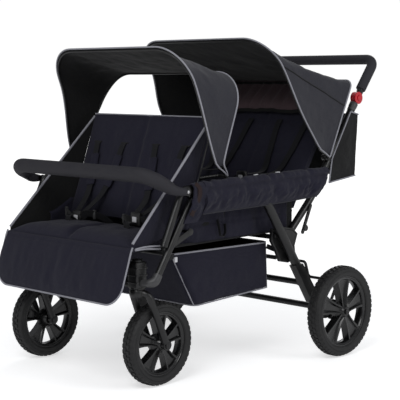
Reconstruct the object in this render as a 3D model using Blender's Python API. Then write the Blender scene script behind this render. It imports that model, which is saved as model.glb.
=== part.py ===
"""Four-seat stroller: two seats side by side in front, two behind, under two canopies.

Metres, +Z up. The stroller faces -Y and its left side is +X. Side-view places below are (y, z)
pairs measured from the point on the floor under the rear axle; the whole frame then stands on
DATUM_Y, so that the origin is the centre of its footprint box.
"""
from math import atan2, cos, exp, hypot, pi, radians, sin, sqrt, tan

import bmesh
import bpy
from mathutils import Matrix, Vector

# Datum and general clearances
DATUM_Y = 0.2394
GAP = 0.0003
RUNNING_GAP = 0.001
EDGE_STEP = 0.0005
TUBE_SIDES = 3

# Widths: the legs, push tubes and all that they carry stand off from the front seats
SEAT_FRONT_HALF_WIDTH = 0.2976
SEAT_TO_LEG = 0.0279
LEG_X = SEAT_FRONT_HALF_WIDTH + SEAT_TO_LEG
LEG_TO_PUSH = 0.0405
PUSH_X = LEG_X - LEG_TO_PUSH

# Wheels
REAR_WHEEL_RADIUS = 0.150
REAR_TYRE_DEPTH = 0.034
REAR_WHEEL_OUTSET = 0.1010
REAR_WHEEL_X = LEG_X + REAR_WHEEL_OUTSET
FRONT_WHEEL_RADIUS = 0.127
FRONT_TYRE_DEPTH = 0.031
FRONT_WHEEL_INSET = 0.0572
FRONT_WHEEL_X = LEG_X - FRONT_WHEEL_INSET
FRONT_AXLE_Y = -0.683
TYRE_WIDTH = 0.050
RIM_WIDTH = 0.036
RIM_WALL = 0.010
SPOKES = 5
SPOKE_THICKNESS = 0.012
SPOKE_ROOT_WIDTH = 0.018
SPOKE_FLARE = 0.030
SPOKE_BOW = 0.006
HUB_RADIUS = 0.021
HUB_HALF_LENGTH = 0.0270
AXLE_RADIUS = 0.006
BORE_CLEARANCE = 0.0004
WHEEL_STEPS = 24
HUB_STEPS = 15

# Front swivels
SWIVEL_TRAIL = 0.080
SWIVEL_HOUSING_RADIUS = 0.021
SWIVEL_HOUSING_BOTTOM = 0.302
SWIVEL_HOUSING_TOP = 0.388
STEM_RADIUS = 0.008
STEM_LENGTH = 0.052
CROWN_THICKNESS = 0.022
CROWN_RADIUS = 0.0235
FORK_ELBOW = (-0.713, 0.198)
FORK_SHOULDER = (0.012, -0.002)
FORK_BEND_RADIUS = 0.030
FORK_ARM_RADIUS = 0.0105
FORK_ARM_X = 0.0385
FORK_EYE_RADIUS = 0.0155
AXLE_HEAD_RADIUS = 0.010
AXLE_HEAD_LENGTH = 0.005
HOUSING_ARM_RADIUS = 0.0145
HOUSING_ARM_Z = 0.331
HOUSING_ARM_BEND = 0.022
HOUSING_ARM_INSET = 0.012
CROSSBAR_HEIGHT = 0.028
CROSSBAR_DEPTH = 0.020

# Side frame, in the plane of the legs
LEG_RADIUS = 0.015
RAIL_RADIUS = 0.011
LEG_TOP = (-0.288, 0.566)
LEG_FOOT_LENGTH = 0.018
FRONT_LEG_TOP = (-0.590, 0.5655)
FRONT_LEG_BOTTOM = (-0.733, 0.346)
RAIL_FRONT_BOTTOM = (-0.7105, 0.425)
RAIL_CORNER = (-0.635, 0.588)
RAIL_REAR_END = (0.020, 0.600)
RAIL_CORNER_RADIUS = 0.030
SADDLE_LENGTH = 0.046
SADDLE_DEPTH = 0.026
REAR_CROSSBAR_RADIUS = 0.010
REAR_CROSSBAR_Z = 0.238
AXLE_TUBE_RADIUS = 0.0105
SEAT_BAR_RADIUS = 0.008
FRONT_SEAT_BAR_Y = -0.693
REAR_SEAT_BAR_Y = -0.200
SEAT_BRACKET_THICKNESS = 0.003
SEAT_BRACKET_HALF_WIDTH = 0.009

# Push frame, in the plane of the push tubes
PUSH_RADIUS = 0.0125
FOLD_PIVOT = (-0.125, 0.378)
PUSH_BEND = (0.015, 0.513)
PUSH_BEND_RADIUS = 0.20
HANDLE_PIVOT = (0.262, 0.8465)
HANDLE_CORNER = (0.367, 0.981)
HANDLE_CORNER_RADIUS = 0.038
HANDLE_TUBE_RADIUS = 0.011
GRIP_RADIUS = 0.0175
GRIP_START = 0.036
HINGE_DISC_RADIUS = 0.021
HINGE_COLLAR_RADIUS = 0.0145
HINGE_COLLAR_LENGTH = 0.028
HINGE_NECK = 0.026
PIVOT_EYE_RADIUS = 0.018
FOLD_PIN_RADIUS = 0.005
FOLD_PIN_HEAD_RADIUS = 0.010
FOLD_PIN_HEAD_LENGTH = 0.0035
BUTTON_RADIUS = 0.010
BUTTON_PROUD = 0.004
BUTTON_TRAVEL = 0.004
BUTTON_RECESS = 0.004
GUSSET_THICKNESS = 0.0117

# Lock levers beside the push tubes
LEVER_PIVOT = (-0.006, 0.4905)
LEVER_TOE = (-0.046, 0.405)
LEVER_THICKNESS = 0.005
LEVER_HALF_WIDTH = 0.0065
KNOB_RADIUS = 0.0105
KNOB_LENGTH = 0.005
KNOB_RISE = 0.014
KNOB_OFFSET = 0.006
LEVER_PIN_RADIUS = 0.004

# Brake
HUB_HOUSING_RADIUS = 0.034
HUB_HOUSING_LENGTH = 0.029
NECK_RADIUS = 0.014
BRAKE_EYE_RADIUS = 0.0215
BRAKE_EYE_WIDTH = 0.011
BRAKE_ROD_RADIUS = 0.005
BRAKE_BAR = (0.050, 0.237)
BRAKE_PEDAL = (0.046, 0.288)
BRAKE_STEP_INSET = 0.0350
BRAKE_STEP_X = PUSH_X - BRAKE_STEP_INSET
BRAKE_PEDAL_INSET = 0.0470
BRAKE_PEDAL_X = PUSH_X - BRAKE_PEDAL_INSET
BRAKE_SHOULDER_OUTSET = 0.0195
BRAKE_SHOULDER_X = LEG_X + BRAKE_SHOULDER_OUTSET
BRAKE_ROD_ROOT = 0.019
BRAKE_ROD_KNEE = 0.086
BRAKE_BEND_RADIUS = 0.012
BRAKE_PIN_RADIUS = 0.0035
BRAKE_PIN_CIRCLE = 0.0285
BRAKE_PIN_LENGTH = 0.036
BRAKE_SLOTS = 10
BRAKE_SLOT_DEPTH = 0.0105
BRAKE_DISC_THICKNESS = 0.008

# Bumper bar
BUMPER_OUTSET = 0.0210
BUMPER_X = LEG_X + BUMPER_OUTSET
BUMPER_RADIUS = 0.0225
BUMPER_FRONT = (-0.762, 0.636)
BUMPER_CORNER_RADIUS = 0.085
BUMPER_SWEEP = 0.012
BUMPER_KNEE = (-0.040, 0.004)
BUMPER_FLAT = 0.062
BUMPER_END = 0.013
BUMPER_PIN_RADIUS = 0.005
BUMPER_PIN_SHOULDER = 0.009
BUMPER_SHOULDER_LENGTH = 0.004
BUMPER_PIN_END = 0.0045
BUMPER_PIN_INSET = 0.006

# Front seats
SEAT_FRONT_Y = -0.805
SEAT_REAR_INSET = 0.0290
SEAT_REAR_HALF_WIDTH = PUSH_X - SEAT_REAR_INSET
SEAT_REAR_Y = -0.597
SEAT_EDGE = 0.011
SEAT_CROWN = 0.036
FRONT_CREASE = (-0.575, 0.455)
FRONT_BACK_TOP = (-0.455, 0.795)
FRONT_BACK_INSET = 0.0160
FRONT_BACK_HALF_WIDTH = PUSH_X - FRONT_BACK_INSET
FRONT_BACK_THICKNESS = 0.026
BACK_CORNER_RADIUS = 0.050
BACK_FRAME_INSET = 0.0320
BACK_FRAME_X = PUSH_X - BACK_FRAME_INSET
BACK_FRAME_RADIUS = 0.008
BACK_FRAME_LOW = 0.006
BACK_FRAME_HIGH = 0.322
BACK_FRAME_CORNER = 0.045
CANOPY_FOOT_ROOT = 0.170
CANOPY_FOOT_KNEE = 0.022
CANOPY_FOOT_BEND = 0.012
CANOPY_FOOT_RADIUS = 0.005
BACK_EYE_RADIUS = 0.011
BACK_PIN_RADIUS = 0.005
WING_THICKNESS = 0.003
WING_HEIGHT = 0.298
WING_FRONT_HEIGHT = 0.008
WING_LIFT = 0.0025
WING_FLARE = 0.022
CALF_HEM = (-0.857, 0.265)
CALF_THICKNESS = 0.010
CALF_BULGE = 0.008
CALF_CORNER_RADIUS = 0.060
CALF_INSET = 0.0026
CALF_HALF_WIDTH = SEAT_FRONT_HALF_WIDTH - CALF_INSET

# Rear seats and the tub that both rows hang in
TUB_INSET = 0.0195
TUB_OUTER_X = PUSH_X - TUB_INSET
TUB_WALL = 0.0035
TUB_FLOOR_Z = 0.412
TUB_FRONT_LOW_Y = -0.540
TUB_FRONT_HIGH_Y = -0.488
TUB_FRONT_FLOOR_Y = -0.800
TUB_FRONT_INSET = 0.0126
TUB_FRONT_FLOOR_HALF_WIDTH = SEAT_FRONT_HALF_WIDTH - TUB_FRONT_INSET
TUB_RIM_FRONT_Z = 0.572
TUB_RIM_REAR_Z = 0.585
REAR_CREASE = (-0.060, 0.475)
CREASE_ROLL_RADIUS = 0.006
REAR_BACK_TOP = (0.198, 0.880)
REAR_BACK_INSET = 0.0300
REAR_BACK_HALF_WIDTH = PUSH_X - REAR_BACK_INSET
REAR_BACK_THICKNESS = 0.028
REAR_SEAT_FRONT_Y = -0.345
REAR_SEAT_REAR_Y = -0.082
REAR_SEAT_HEIGHT = 0.052
FRONT_CREASE_CLEARANCE = 0.016
DRAWN_IN = 0.004

# Fabric hung on the side rails
WRAP_INNER_INSET = 0.0090
WRAP_INNER_X = LEG_X - WRAP_INNER_INSET
WRAP_OUTER_OUTSET = 0.0235
WRAP_OUTER_X = LEG_X + WRAP_OUTER_OUTSET
WRAP_THICKNESS = 0.006
WRAP_FRONT_Y = -0.596
WRAP_REAR_Y = 0.028
WRAP_DROP = 0.100
WRAP_GATHER = 0.0020
WRAP_GATHERS = 9

# Front canopy
FRONT_CANOPY_PIVOT = (-0.430, 0.615)
FRONT_HOOP_ANGLE = 116.3
FRONT_HOOP_LENGTH = 0.429
FRONT_BOW_ANGLE = 77.5
FRONT_BOW_LENGTH = 0.318
CANOPY_CORNER_RADIUS = 0.085
WIRE_RADIUS = 0.003
FRONT_HOOP_INSET = 0.0130
FRONT_HOOP_X = LEG_X - FRONT_HOOP_INSET
CANOPY_BOSS_RADIUS = 0.008
CANOPY_START = 0.045
FABRIC_THICKNESS = 0.003
EDGE_SLACK = 0.0050
FRONT_CANOPY_SAG = 0.004

# Rear canopy
REAR_CANOPY_PIVOT = (0.085, 0.648)
REAR_HOOP_ANGLE = 129.2
REAR_HOOP_LENGTH = 0.500
REAR_HOOP_OUTSET = 0.0205
REAR_HOOP_X = PUSH_X + REAR_HOOP_OUTSET
REAR_BOW_ANGLE = 65.0
REAR_BOW_LENGTH = 0.283
REAR_BOW_INSET = 0.0015
REAR_BOW_X = PUSH_X - REAR_BOW_INSET
REAR_CORNER_RADIUS = 0.060
LUG_RADIUS = 0.010
HOOP_PIN_RADIUS = 0.004
LUG_LENGTH = 0.026
LUG_DROP = 0.004
REAR_CANOPY_SAG = 0.018

# Pocket behind the push tubes
POCKET_WALL = 0.003
POCKET_BACK_BOTTOM = (0.238, 0.578)
POCKET_BACK_TOP = (0.252, 0.790)
POCKET_SIDE_TOP = (0.190, 0.800)
POCKET_SIDE_MID = (0.108, 0.650)
POCKET_SIDE_BOTTOM = (0.092, 0.561)

# Basket
BASKET_INSET = 0.0200
BASKET_HALF_WIDTH = PUSH_X - BASKET_INSET
BASKET_WALL = 0.004
BASKET_TOP_FRONT = (-0.622, 0.386)
BASKET_TOP_REAR = (-0.178, 0.380)
BASKET_LOW_FRONT = (-0.522, 0.216)
BASKET_LOW_REAR = (-0.172, 0.232)
STRAP_THICKNESS = 0.003
STRAP_HALF_WIDTH = 0.008
FRONT_STRAP_DROP = 0.010
FRONT_STRAP_INSET = 0.012
REAR_STRAP_INSET = 0.001
REAR_STRAP_WIDTH = 0.008
REAR_STRAP_Z = (0.345, 0.365)

# Colour, roughness and metallic value of each finish
FINISHES = {
    "frame_black": ((0.022, 0.022, 0.024), 0.35, 0.0),
    "steel": ((0.55, 0.55, 0.56), 0.30, 1.0),
    "plastic": ((0.016, 0.016, 0.018), 0.40, 0.0),
    "red_plastic": ((0.60, 0.025, 0.050), 0.35, 0.0),
    "rim_plastic": ((0.012, 0.012, 0.013), 0.22, 0.0),
    "tyre": ((0.030, 0.030, 0.032), 0.80, 0.0),
    "foam": ((0.026, 0.026, 0.028), 0.85, 0.0),
    "seat_fabric": ((0.020, 0.020, 0.030), 0.90, 0.0),
    "canopy_fabric": ((0.050, 0.050, 0.062), 0.90, 0.0),
    "lining": ((0.024, 0.024, 0.026), 0.92, 0.0),
}

BODIES = {}


def clear_scene():
    for old in list(bpy.data.objects):
        bpy.data.objects.remove(old)


def finish(name):
    colour, roughness, metallic = FINISHES[name]
    material = bpy.data.materials.get(name) or bpy.data.materials.new(name)
    material.use_nodes = True
    shader = material.node_tree.nodes["Principled BSDF"]
    shader.inputs["Base Color"].default_value = (*colour, 1.0)
    shader.inputs["Roughness"].default_value = roughness
    shader.inputs["Metallic"].default_value = metallic
    return material


def add_body(name, place, parent=None):
    """An empty on a joint's axis: what moves with the joint is parented to it."""
    empty = bpy.data.objects.new(f"{name}_axis", None)
    bpy.context.scene.collection.objects.link(empty)
    centre = Vector(place)
    if parent:
        empty.parent = BODIES[parent][0]
        empty.location = centre - BODIES[parent][1]
    else:
        empty.location = centre + Vector((0, DATUM_Y, 0))
    BODIES[name] = (empty, centre)


def add_piece(name, mesh, body, material):
    """A piece modelled in place, given its body's axis as its origin."""
    empty, centre = BODIES[body]
    mesh.name = name
    mesh.transform(Matrix.Translation(-centre))
    mesh.materials.clear()
    mesh.materials.append(finish(material))
    mesh.shade_smooth()
    mesh.set_sharp_from_angle(angle=radians(40))
    piece = bpy.data.objects.new(name, mesh)
    bpy.context.scene.collection.objects.link(piece)
    piece.parent = empty
    return piece


def to_mesh(bm):
    """The mesh of a bmesh, welded and with its faces pointing out."""
    bmesh.ops.remove_doubles(bm, verts=bm.verts, dist=1e-6)
    bmesh.ops.recalc_face_normals(bm, faces=bm.faces)
    mesh = bpy.data.meshes.new("shape")
    bm.to_mesh(mesh)
    bm.free()
    return mesh


def rounded(points, radius, steps=5):
    """The path through the points, with its inner corners turned at the radius."""
    points = [Vector(p) for p in points]
    path = [points[0]]
    for before, corner, after in zip(points, points[1:], points[2:]):
        back = (before - corner).normalized()
        ahead = (after - corner).normalized()
        half = back.angle(ahead) / 2
        if half > radians(89):
            path.append(corner)
            continue
        room = 0.48 * min((before - corner).length, (after - corner).length)
        reach = min(radius / tan(half), room)
        turn = reach * tan(half)
        centre = corner + (back + ahead).normalized() * (turn / sin(half))
        first = corner + back * reach - centre
        last = corner + ahead * reach - centre
        for i in range(steps + 1):
            arm = first.slerp(last, i / steps) if first.angle(last) > 1e-4 else first
            path.append(centre + arm.normalized() * turn)
    path.append(points[-1])
    return path


def tube(path, radius, sides=TUBE_SIDES):
    """A round bar along a path, capped at both ends."""
    curve = bpy.data.curves.new("path", "CURVE")
    curve.dimensions = "3D"
    curve.bevel_depth = radius
    curve.bevel_resolution = sides
    curve.use_fill_caps = True
    spline = curve.splines.new("POLY")
    spline.points.add(len(path) - 1)
    for point, place in zip(spline.points, path):
        point.co = (*place, 1.0)
    holder = bpy.data.objects.new("path", curve)
    bpy.context.scene.collection.objects.link(holder)
    mesh = bpy.data.meshes.new_from_object(holder)
    bpy.data.objects.remove(holder)
    bpy.data.curves.remove(curve)
    bm = bmesh.new()
    bm.from_mesh(mesh)
    bpy.data.meshes.remove(mesh)
    return to_mesh(bm)


def wheel_ring(profile, axle):
    """A ring turned about a wheel's axle whose flats, one of them at the bottom, lie on its radii."""
    flat = pi / WHEEL_STEPS
    mesh = turned_x([(x, radius / cos(flat)) for x, radius in profile], 0, 0, ring=True)
    mesh.transform(Matrix.Rotation(flat, 4, "X"))
    mesh.transform(Matrix.Translation((0, *axle)))
    return mesh


def rod_x(x0, x1, y, z, radius, steps=12):
    """A round bar along X from x0 to x1."""
    low, high = sorted((x0, x1))
    return turned_x([(low, 0.0), (low, radius), (high, radius), (high, 0.0)], y, z, steps)


def turned_x(profile, y, z, steps=WHEEL_STEPS, ring=False):
    """A solid turned about a line along X, from (x, radius) pairs; ring closes the profile."""
    bm = bmesh.new()
    verts = [bm.verts.new((x, radius, 0.0)) for x, radius in profile]
    pairs = list(zip(verts, verts[1:]))
    if ring:
        pairs.append((verts[-1], verts[0]))
    edges = [bm.edges.new(pair) for pair in pairs]
    bmesh.ops.spin(bm, geom=verts + edges, cent=(0, 0, 0), axis=(1, 0, 0),
                   angle=2 * pi, steps=steps, use_merge=True)
    bmesh.ops.translate(bm, verts=bm.verts, vec=(0, y, z))
    return to_mesh(bm)


def turned_z(x, y, low, high, radius, steps=16):
    """An upright round bar."""
    bm = bmesh.new()
    bmesh.ops.create_cone(bm, cap_ends=True, segments=steps, radius1=radius, radius2=radius,
                          depth=high - low)
    bmesh.ops.translate(bm, verts=bm.verts, vec=(x, y, (low + high) / 2))
    return to_mesh(bm)


def box(low, high):
    bm = bmesh.new()
    bmesh.ops.create_cube(bm, size=1)
    low, high = Vector(low), Vector(high)
    bmesh.ops.scale(bm, verts=bm.verts, vec=high - low)
    bmesh.ops.translate(bm, verts=bm.verts, vec=(low + high) / 2)
    return to_mesh(bm)


def plate_x(outline, x0, x1):
    """A flat plate with a side-view outline, from x0 to x1."""
    bm = bmesh.new()
    face = bm.faces.new([bm.verts.new((x0, y, z)) for y, z in outline])
    grown = bmesh.ops.extrude_face_region(bm, geom=[face], use_keep_orig=True)
    moved = [v for v in grown["geom"] if isinstance(v, bmesh.types.BMVert)]
    bmesh.ops.translate(bm, verts=moved, vec=(x1 - x0, 0, 0))
    return to_mesh(bm)


def combine(operation, base, *others):
    """Union or difference of closed meshes."""
    scene = bpy.context.scene.collection.objects
    main = bpy.data.objects.new("base", base)
    scene.link(main)
    tools = []
    for other in others:
        tool = bpy.data.objects.new("tool", other)
        scene.link(tool)
        tools.append(tool)
        modifier = main.modifiers.new("join", "BOOLEAN")
        modifier.operation = operation
        modifier.solver = "EXACT"
        modifier.object = tool
    evaluated = main.evaluated_get(bpy.context.evaluated_depsgraph_get())
    mesh = bpy.data.meshes.new_from_object(evaluated)
    for used in [main, *tools]:
        bpy.data.objects.remove(used)
    bm = bmesh.new()
    bm.from_mesh(mesh)
    bpy.data.meshes.remove(mesh)
    return to_mesh(bm)


def union(base, *others):
    return combine("UNION", base, *others)


def cut(base, *others):
    return combine("DIFFERENCE", base, *others)


def moulded(cuts, rule):
    """A unit block cut into a grid and shaped: rule takes (u, v, w), each from -0.5 to 0.5."""
    bm = bmesh.new()
    bmesh.ops.create_cube(bm, size=1)
    for axis, count in enumerate(cuts):
        if count:
            whole = [e for e in bm.edges
                     if abs(e.verts[0].co[axis] - e.verts[1].co[axis]) > 0.99]
            bmesh.ops.subdivide_edges(bm, edges=whole, cuts=count, use_grid_fill=True)
    for vert in bm.verts:
        vert.co = rule(*vert.co)
    return to_mesh(bm)


def crown(u, v, power=4):
    """1 in the middle of a cushion and 0 round its edge."""
    return (1 - abs(2 * u) ** power) * (1 - abs(2 * v) ** power)


def channel(distance, width):
    """The dip of a sewn channel, 1 on the seam line."""
    return exp(-(distance / width) ** 2)


def side_point(place, x):
    return Vector((x, place[0], place[1]))


def along(start, end, distance):
    """The side-view point at a distance from start towards end."""
    length = hypot(end[0] - start[0], end[1] - start[1])
    share = distance / length
    return (start[0] + (end[0] - start[0]) * share, start[1] + (end[1] - start[1]) * share)


def polar(centre, angle, length):
    """The side-view point at an angle in degrees above +Y."""
    turn = radians(angle)
    return (centre[0] + length * cos(turn), centre[1] + length * sin(turn))


REAR_AXLE = (0.0, REAR_WHEEL_RADIUS)
FRONT_AXLE = (FRONT_AXLE_Y, FRONT_WHEEL_RADIUS)
SWIVEL_Y = FRONT_AXLE_Y - SWIVEL_TRAIL
SIDES = (("left", 1), ("right", -1))


def leg_y(z):
    """The rear leg's centre line."""
    share = (z - REAR_AXLE[1]) / (LEG_TOP[1] - REAR_AXLE[1])
    return LEG_TOP[0] * share


def front_leg_y(z):
    """The front leg's centre line."""
    share = (z - FRONT_LEG_BOTTOM[1]) / (FRONT_LEG_TOP[1] - FRONT_LEG_BOTTOM[1])
    return FRONT_LEG_BOTTOM[0] + (FRONT_LEG_TOP[0] - FRONT_LEG_BOTTOM[0]) * share


# Wheels

def tyre(x, axle, radius, depth):
    half = TYRE_WIDTH / 2
    inner = radius - depth
    shoulder = radius - 0.25 * depth
    profile = [
        (x - 0.78 * half, inner + GAP), (x - half, inner + 0.35 * depth),
        (x - 0.94 * half, shoulder), (x - 0.60 * half, radius - 0.05 * depth),
        (x - 0.30 * half, radius), (x + 0.30 * half, radius),
        (x + 0.60 * half, radius - 0.05 * depth),
        (x + 0.94 * half, shoulder), (x + half, inner + 0.35 * depth),
        (x + 0.78 * half, inner + GAP),
    ]
    return wheel_ring(profile, axle)


def spoke(x, axle, start, end, turn):
    """One spoke: narrow and thick at the hub, wide and thin at the rim."""
    def rule(u, v, w):
        share = v + 0.5
        reach = start + (end - start) * share
        width = SPOKE_ROOT_WIDTH + SPOKE_FLARE * share ** 1.6
        thick = SPOKE_THICKNESS * (1.25 - 0.45 * share)
        bow = SPOKE_BOW * (1 - share)
        return Vector((x + bow + w * thick, u * width, reach))
    mesh = moulded((0, 2, 0), rule)
    mesh.transform(Matrix.Rotation(turn, 4, "X"))
    mesh.transform(Matrix.Translation((0, axle[0], axle[1])))
    return mesh


def rim(x, axle, outer, hub_inner, hub_outer, sign, slots=False):
    """Rim ring, spokes and hub in one moulding, bored for the axle; sign points outwards."""
    half = RIM_WIDTH / 2
    ring = wheel_ring([
        (x - half, outer - 0.35 * RIM_WALL), (x - half, outer), (x + half, outer),
        (x + half, outer - 0.35 * RIM_WALL), (x + 0.4 * half, outer - RIM_WALL),
        (x - 0.4 * half, outer - RIM_WALL),
    ], axle)
    bore = AXLE_RADIUS + BORE_CLEARANCE
    a, b = x + sign * hub_inner, x + sign * hub_outer
    hub = turned_x([
        (a, bore), (a, HUB_RADIUS), (x, HUB_RADIUS * 1.05), (b, HUB_RADIUS * 0.62), (b, bore),
    ], *axle, steps=HUB_STEPS, ring=True)
    parts = [hub]
    for i in range(SPOKES):
        mesh = spoke(0, (0, 0), HUB_RADIUS * 0.72, outer - 0.7 * RIM_WALL, 2 * pi * i / SPOKES)
        if sign < 0:
            mesh.transform(Matrix.Scale(-1, 4, (1, 0, 0)))
            mesh.flip_normals()
        mesh.transform(Matrix.Translation((x, axle[0], axle[1])))
        parts.append(mesh)
    if slots:
        parts.append(brake_disc(a, sign, axle, bore))
    return union(ring, *parts)


def brake_disc(start, sign, axle, bore):
    """Disc on the inner end of a rear hub, slotted for the brake pin."""
    disc = turned_x([
        (start, bore), (start, HUB_HOUSING_RADIUS),
        (start + sign * BRAKE_DISC_THICKNESS, HUB_HOUSING_RADIUS),
        (start + sign * BRAKE_DISC_THICKNESS, bore),
    ], *axle, steps=BRAKE_SLOTS * 2, ring=True)
    half = BRAKE_PIN_RADIUS + RUNNING_GAP
    cutters = []
    for i in range(BRAKE_SLOTS):
        slot = box((start - 0.01, HUB_HOUSING_RADIUS - BRAKE_SLOT_DEPTH, -half),
                   (start + 0.02, HUB_HOUSING_RADIUS + 0.01, half))
        if sign < 0:
            slot.transform(Matrix.Translation((-0.01, 0, 0)))
        slot.transform(Matrix.Rotation(2 * pi * i / BRAKE_SLOTS + pi, 4, "X"))
        slot.transform(Matrix.Translation((0, axle[0], axle[1])))
        cutters.append(slot)
    return cut(disc, *cutters)


def build_wheels():
    for side, s in SIDES:
        body = f"{side}_front_wheel"
        x = s * FRONT_WHEEL_X
        inner = FRONT_WHEEL_RADIUS - FRONT_TYRE_DEPTH
        add_piece(f"{side}_front_rim",
                  rim(x, FRONT_AXLE, inner, -HUB_HALF_LENGTH, HUB_HALF_LENGTH, s),
                  body, "rim_plastic")
        add_piece(f"{side}_front_tyre",
                  tyre(x, FRONT_AXLE, FRONT_WHEEL_RADIUS, FRONT_TYRE_DEPTH), body, "tyre")
        body = f"{side}_rear_wheel"
        x = s * REAR_WHEEL_X
        inner = REAR_WHEEL_RADIUS - REAR_TYRE_DEPTH
        add_piece(f"{side}_rear_rim",
                  rim(x, REAR_AXLE, inner, -rear_hub_reach(), HUB_HALF_LENGTH, s, slots=True),
                  body, "rim_plastic")
        add_piece(f"{side}_rear_tyre",
                  tyre(x, REAR_AXLE, REAR_WHEEL_RADIUS, REAR_TYRE_DEPTH), body, "tyre")


def housing_end():
    """X where a rear hub housing ends and its neck starts."""
    return LEG_X + LEG_RADIUS + GAP + HUB_HOUSING_LENGTH


def neck_end():
    return housing_end() + BRAKE_EYE_WIDTH + 2 * RUNNING_GAP + 0.0065


def rear_hub_reach():
    """How far a rear wheel's hub reaches inwards from the wheel's centre plane."""
    return REAR_WHEEL_X - neck_end() - 2 * RUNNING_GAP


# Front swivels and forks

def build_swivels():
    eye = FORK_ARM_X + FORK_ARM_RADIUS * 0.72
    for side, s in SIDES:
        x = s * FRONT_WHEEL_X
        crown_top = SWIVEL_HOUSING_BOTTOM - RUNNING_GAP
        crown_low = crown_top - CROWN_THICKNESS
        centre_z = (crown_top + crown_low) / 2
        shoulder = (SWIVEL_Y + FORK_SHOULDER[0], centre_z + FORK_SHOULDER[1])
        arm = [FRONT_AXLE, FORK_ELBOW, shoulder]
        legs = [side_point(place, x + FORK_ARM_X) for place in arm]
        legs.append(Vector((x, SWIVEL_Y, centre_z)))
        legs += [side_point(place, x - FORK_ARM_X) for place in reversed(arm)]
        arch = tube(rounded(legs, FORK_BEND_RADIUS, 3), FORK_ARM_RADIUS, 2)
        crown_disc = turned_z(x, SWIVEL_Y, crown_low, crown_top, CROWN_RADIUS)
        stem = turned_z(x, SWIVEL_Y, crown_low + 0.004, crown_top + STEM_LENGTH, STEM_RADIUS, 16)
        eyes = [rod_x(x + e * (FORK_ARM_X - 0.0075), x + e * eye, *FRONT_AXLE, FORK_EYE_RADIUS)
                for e in (1, -1)]
        head = eye + AXLE_HEAD_LENGTH
        bolt = turned_x([
            (x - head, 0.0), (x - head, AXLE_HEAD_RADIUS), (x - eye + 0.002, AXLE_HEAD_RADIUS),
            (x - eye + 0.002, AXLE_RADIUS), (x + eye - 0.002, AXLE_RADIUS),
            (x + eye - 0.002, AXLE_HEAD_RADIUS), (x + head, AXLE_HEAD_RADIUS), (x + head, 0.0),
        ], *FRONT_AXLE, steps=16)
        fork = union(arch, crown_disc, stem, *eyes, bolt)
        add_piece(f"{side}_fork", fork, f"{side}_swivel", "plastic")

        housing = turned_z(x, SWIVEL_Y, SWIVEL_HOUSING_BOTTOM, SWIVEL_HOUSING_TOP,
                           SWIVEL_HOUSING_RADIUS)
        foot = along(FRONT_LEG_BOTTOM, FRONT_LEG_TOP, -GAP)
        bend = along(FRONT_LEG_BOTTOM, FRONT_LEG_TOP, -HOUSING_ARM_BEND)
        arm = tube(rounded([
            (s * LEG_X, *foot), (s * LEG_X, *bend),
            (s * (LEG_X - HOUSING_ARM_INSET), SWIVEL_Y, HOUSING_ARM_Z),
            (x, SWIVEL_Y, HOUSING_ARM_Z),
        ], HOUSING_ARM_BEND, 4), HOUSING_ARM_RADIUS)
        housing = union(housing, arm)
        socket = turned_z(x, SWIVEL_Y, SWIVEL_HOUSING_BOTTOM - 0.01,
                          crown_top + STEM_LENGTH + 0.002, STEM_RADIUS + BORE_CLEARANCE, 16)
        add_piece(f"{side}_swivel_housing", cut(housing, socket), "chassis", "plastic")
    reach = FRONT_WHEEL_X - SWIVEL_HOUSING_RADIUS - GAP
    low = SWIVEL_HOUSING_BOTTOM + 0.003
    add_piece("front_crossbar",
              box((-reach, SWIVEL_Y - CROSSBAR_DEPTH / 2, low),
                  (reach, SWIVEL_Y + CROSSBAR_DEPTH / 2, low + CROSSBAR_HEIGHT)),
              "chassis", "frame_black")


# Side frames

def saddle(x, top):
    """Block under the side rail that a leg's top end butts against."""
    rail_z = rail_height(top[0])
    half = RAIL_RADIUS * 0.92
    return box((x - half, top[0] - SADDLE_LENGTH / 2, rail_z - SADDLE_DEPTH),
               (x + half, top[0] + SADDLE_LENGTH / 2, rail_z))


def rail_height(y):
    share = (y - RAIL_CORNER[0]) / (RAIL_REAR_END[0] - RAIL_CORNER[0])
    return RAIL_CORNER[1] + (RAIL_REAR_END[1] - RAIL_CORNER[1]) * share


def clipped_below(mesh, z):
    """The mesh with everything above a level plane cut away."""
    return cut(mesh, box((-1, -1.5, z), (1, 1.5, z + 0.5)))


def build_side_frames():
    for side, s in SIDES:
        x = s * LEG_X
        foot = along(REAR_AXLE, LEG_TOP, -LEG_FOOT_LENGTH)
        reach = along(REAR_AXLE, LEG_TOP, hypot(LEG_TOP[0], LEG_TOP[1] - REAR_AXLE[1]) + 0.03)
        leg = tube([side_point(foot, x), side_point(reach, x)], LEG_RADIUS)
        ceiling = rail_height(LEG_TOP[0]) - SADDLE_DEPTH - GAP
        add_piece(f"{side}_rear_leg", clipped_below(leg, ceiling), "chassis", "frame_black")

        reach = along(FRONT_LEG_TOP, FRONT_LEG_BOTTOM, -0.03)
        leg = tube([side_point(FRONT_LEG_BOTTOM, x), side_point(reach, x)], RAIL_RADIUS)
        ceiling = rail_height(FRONT_LEG_TOP[0]) - SADDLE_DEPTH - GAP
        add_piece(f"{side}_front_leg", clipped_below(leg, ceiling), "chassis", "frame_black")

        route = [side_point(p, x) for p in (RAIL_FRONT_BOTTOM, RAIL_CORNER, RAIL_REAR_END)]
        rail = tube(rounded(route, RAIL_CORNER_RADIUS), RAIL_RADIUS)
        pin = bumper_pin(s)
        rail = union(rail, saddle(x, LEG_TOP), saddle(x, FRONT_LEG_TOP), pin)
        add_piece(f"{side}_side_rail", rail, "chassis", "frame_black")


def bumper_pivot():
    """The rail's front corner, on its rounded centre line, carries the bumper bar's pin."""
    return (RAIL_CORNER[0] + BUMPER_PIN_INSET, RAIL_CORNER[1] - BUMPER_PIN_INSET)


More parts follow.
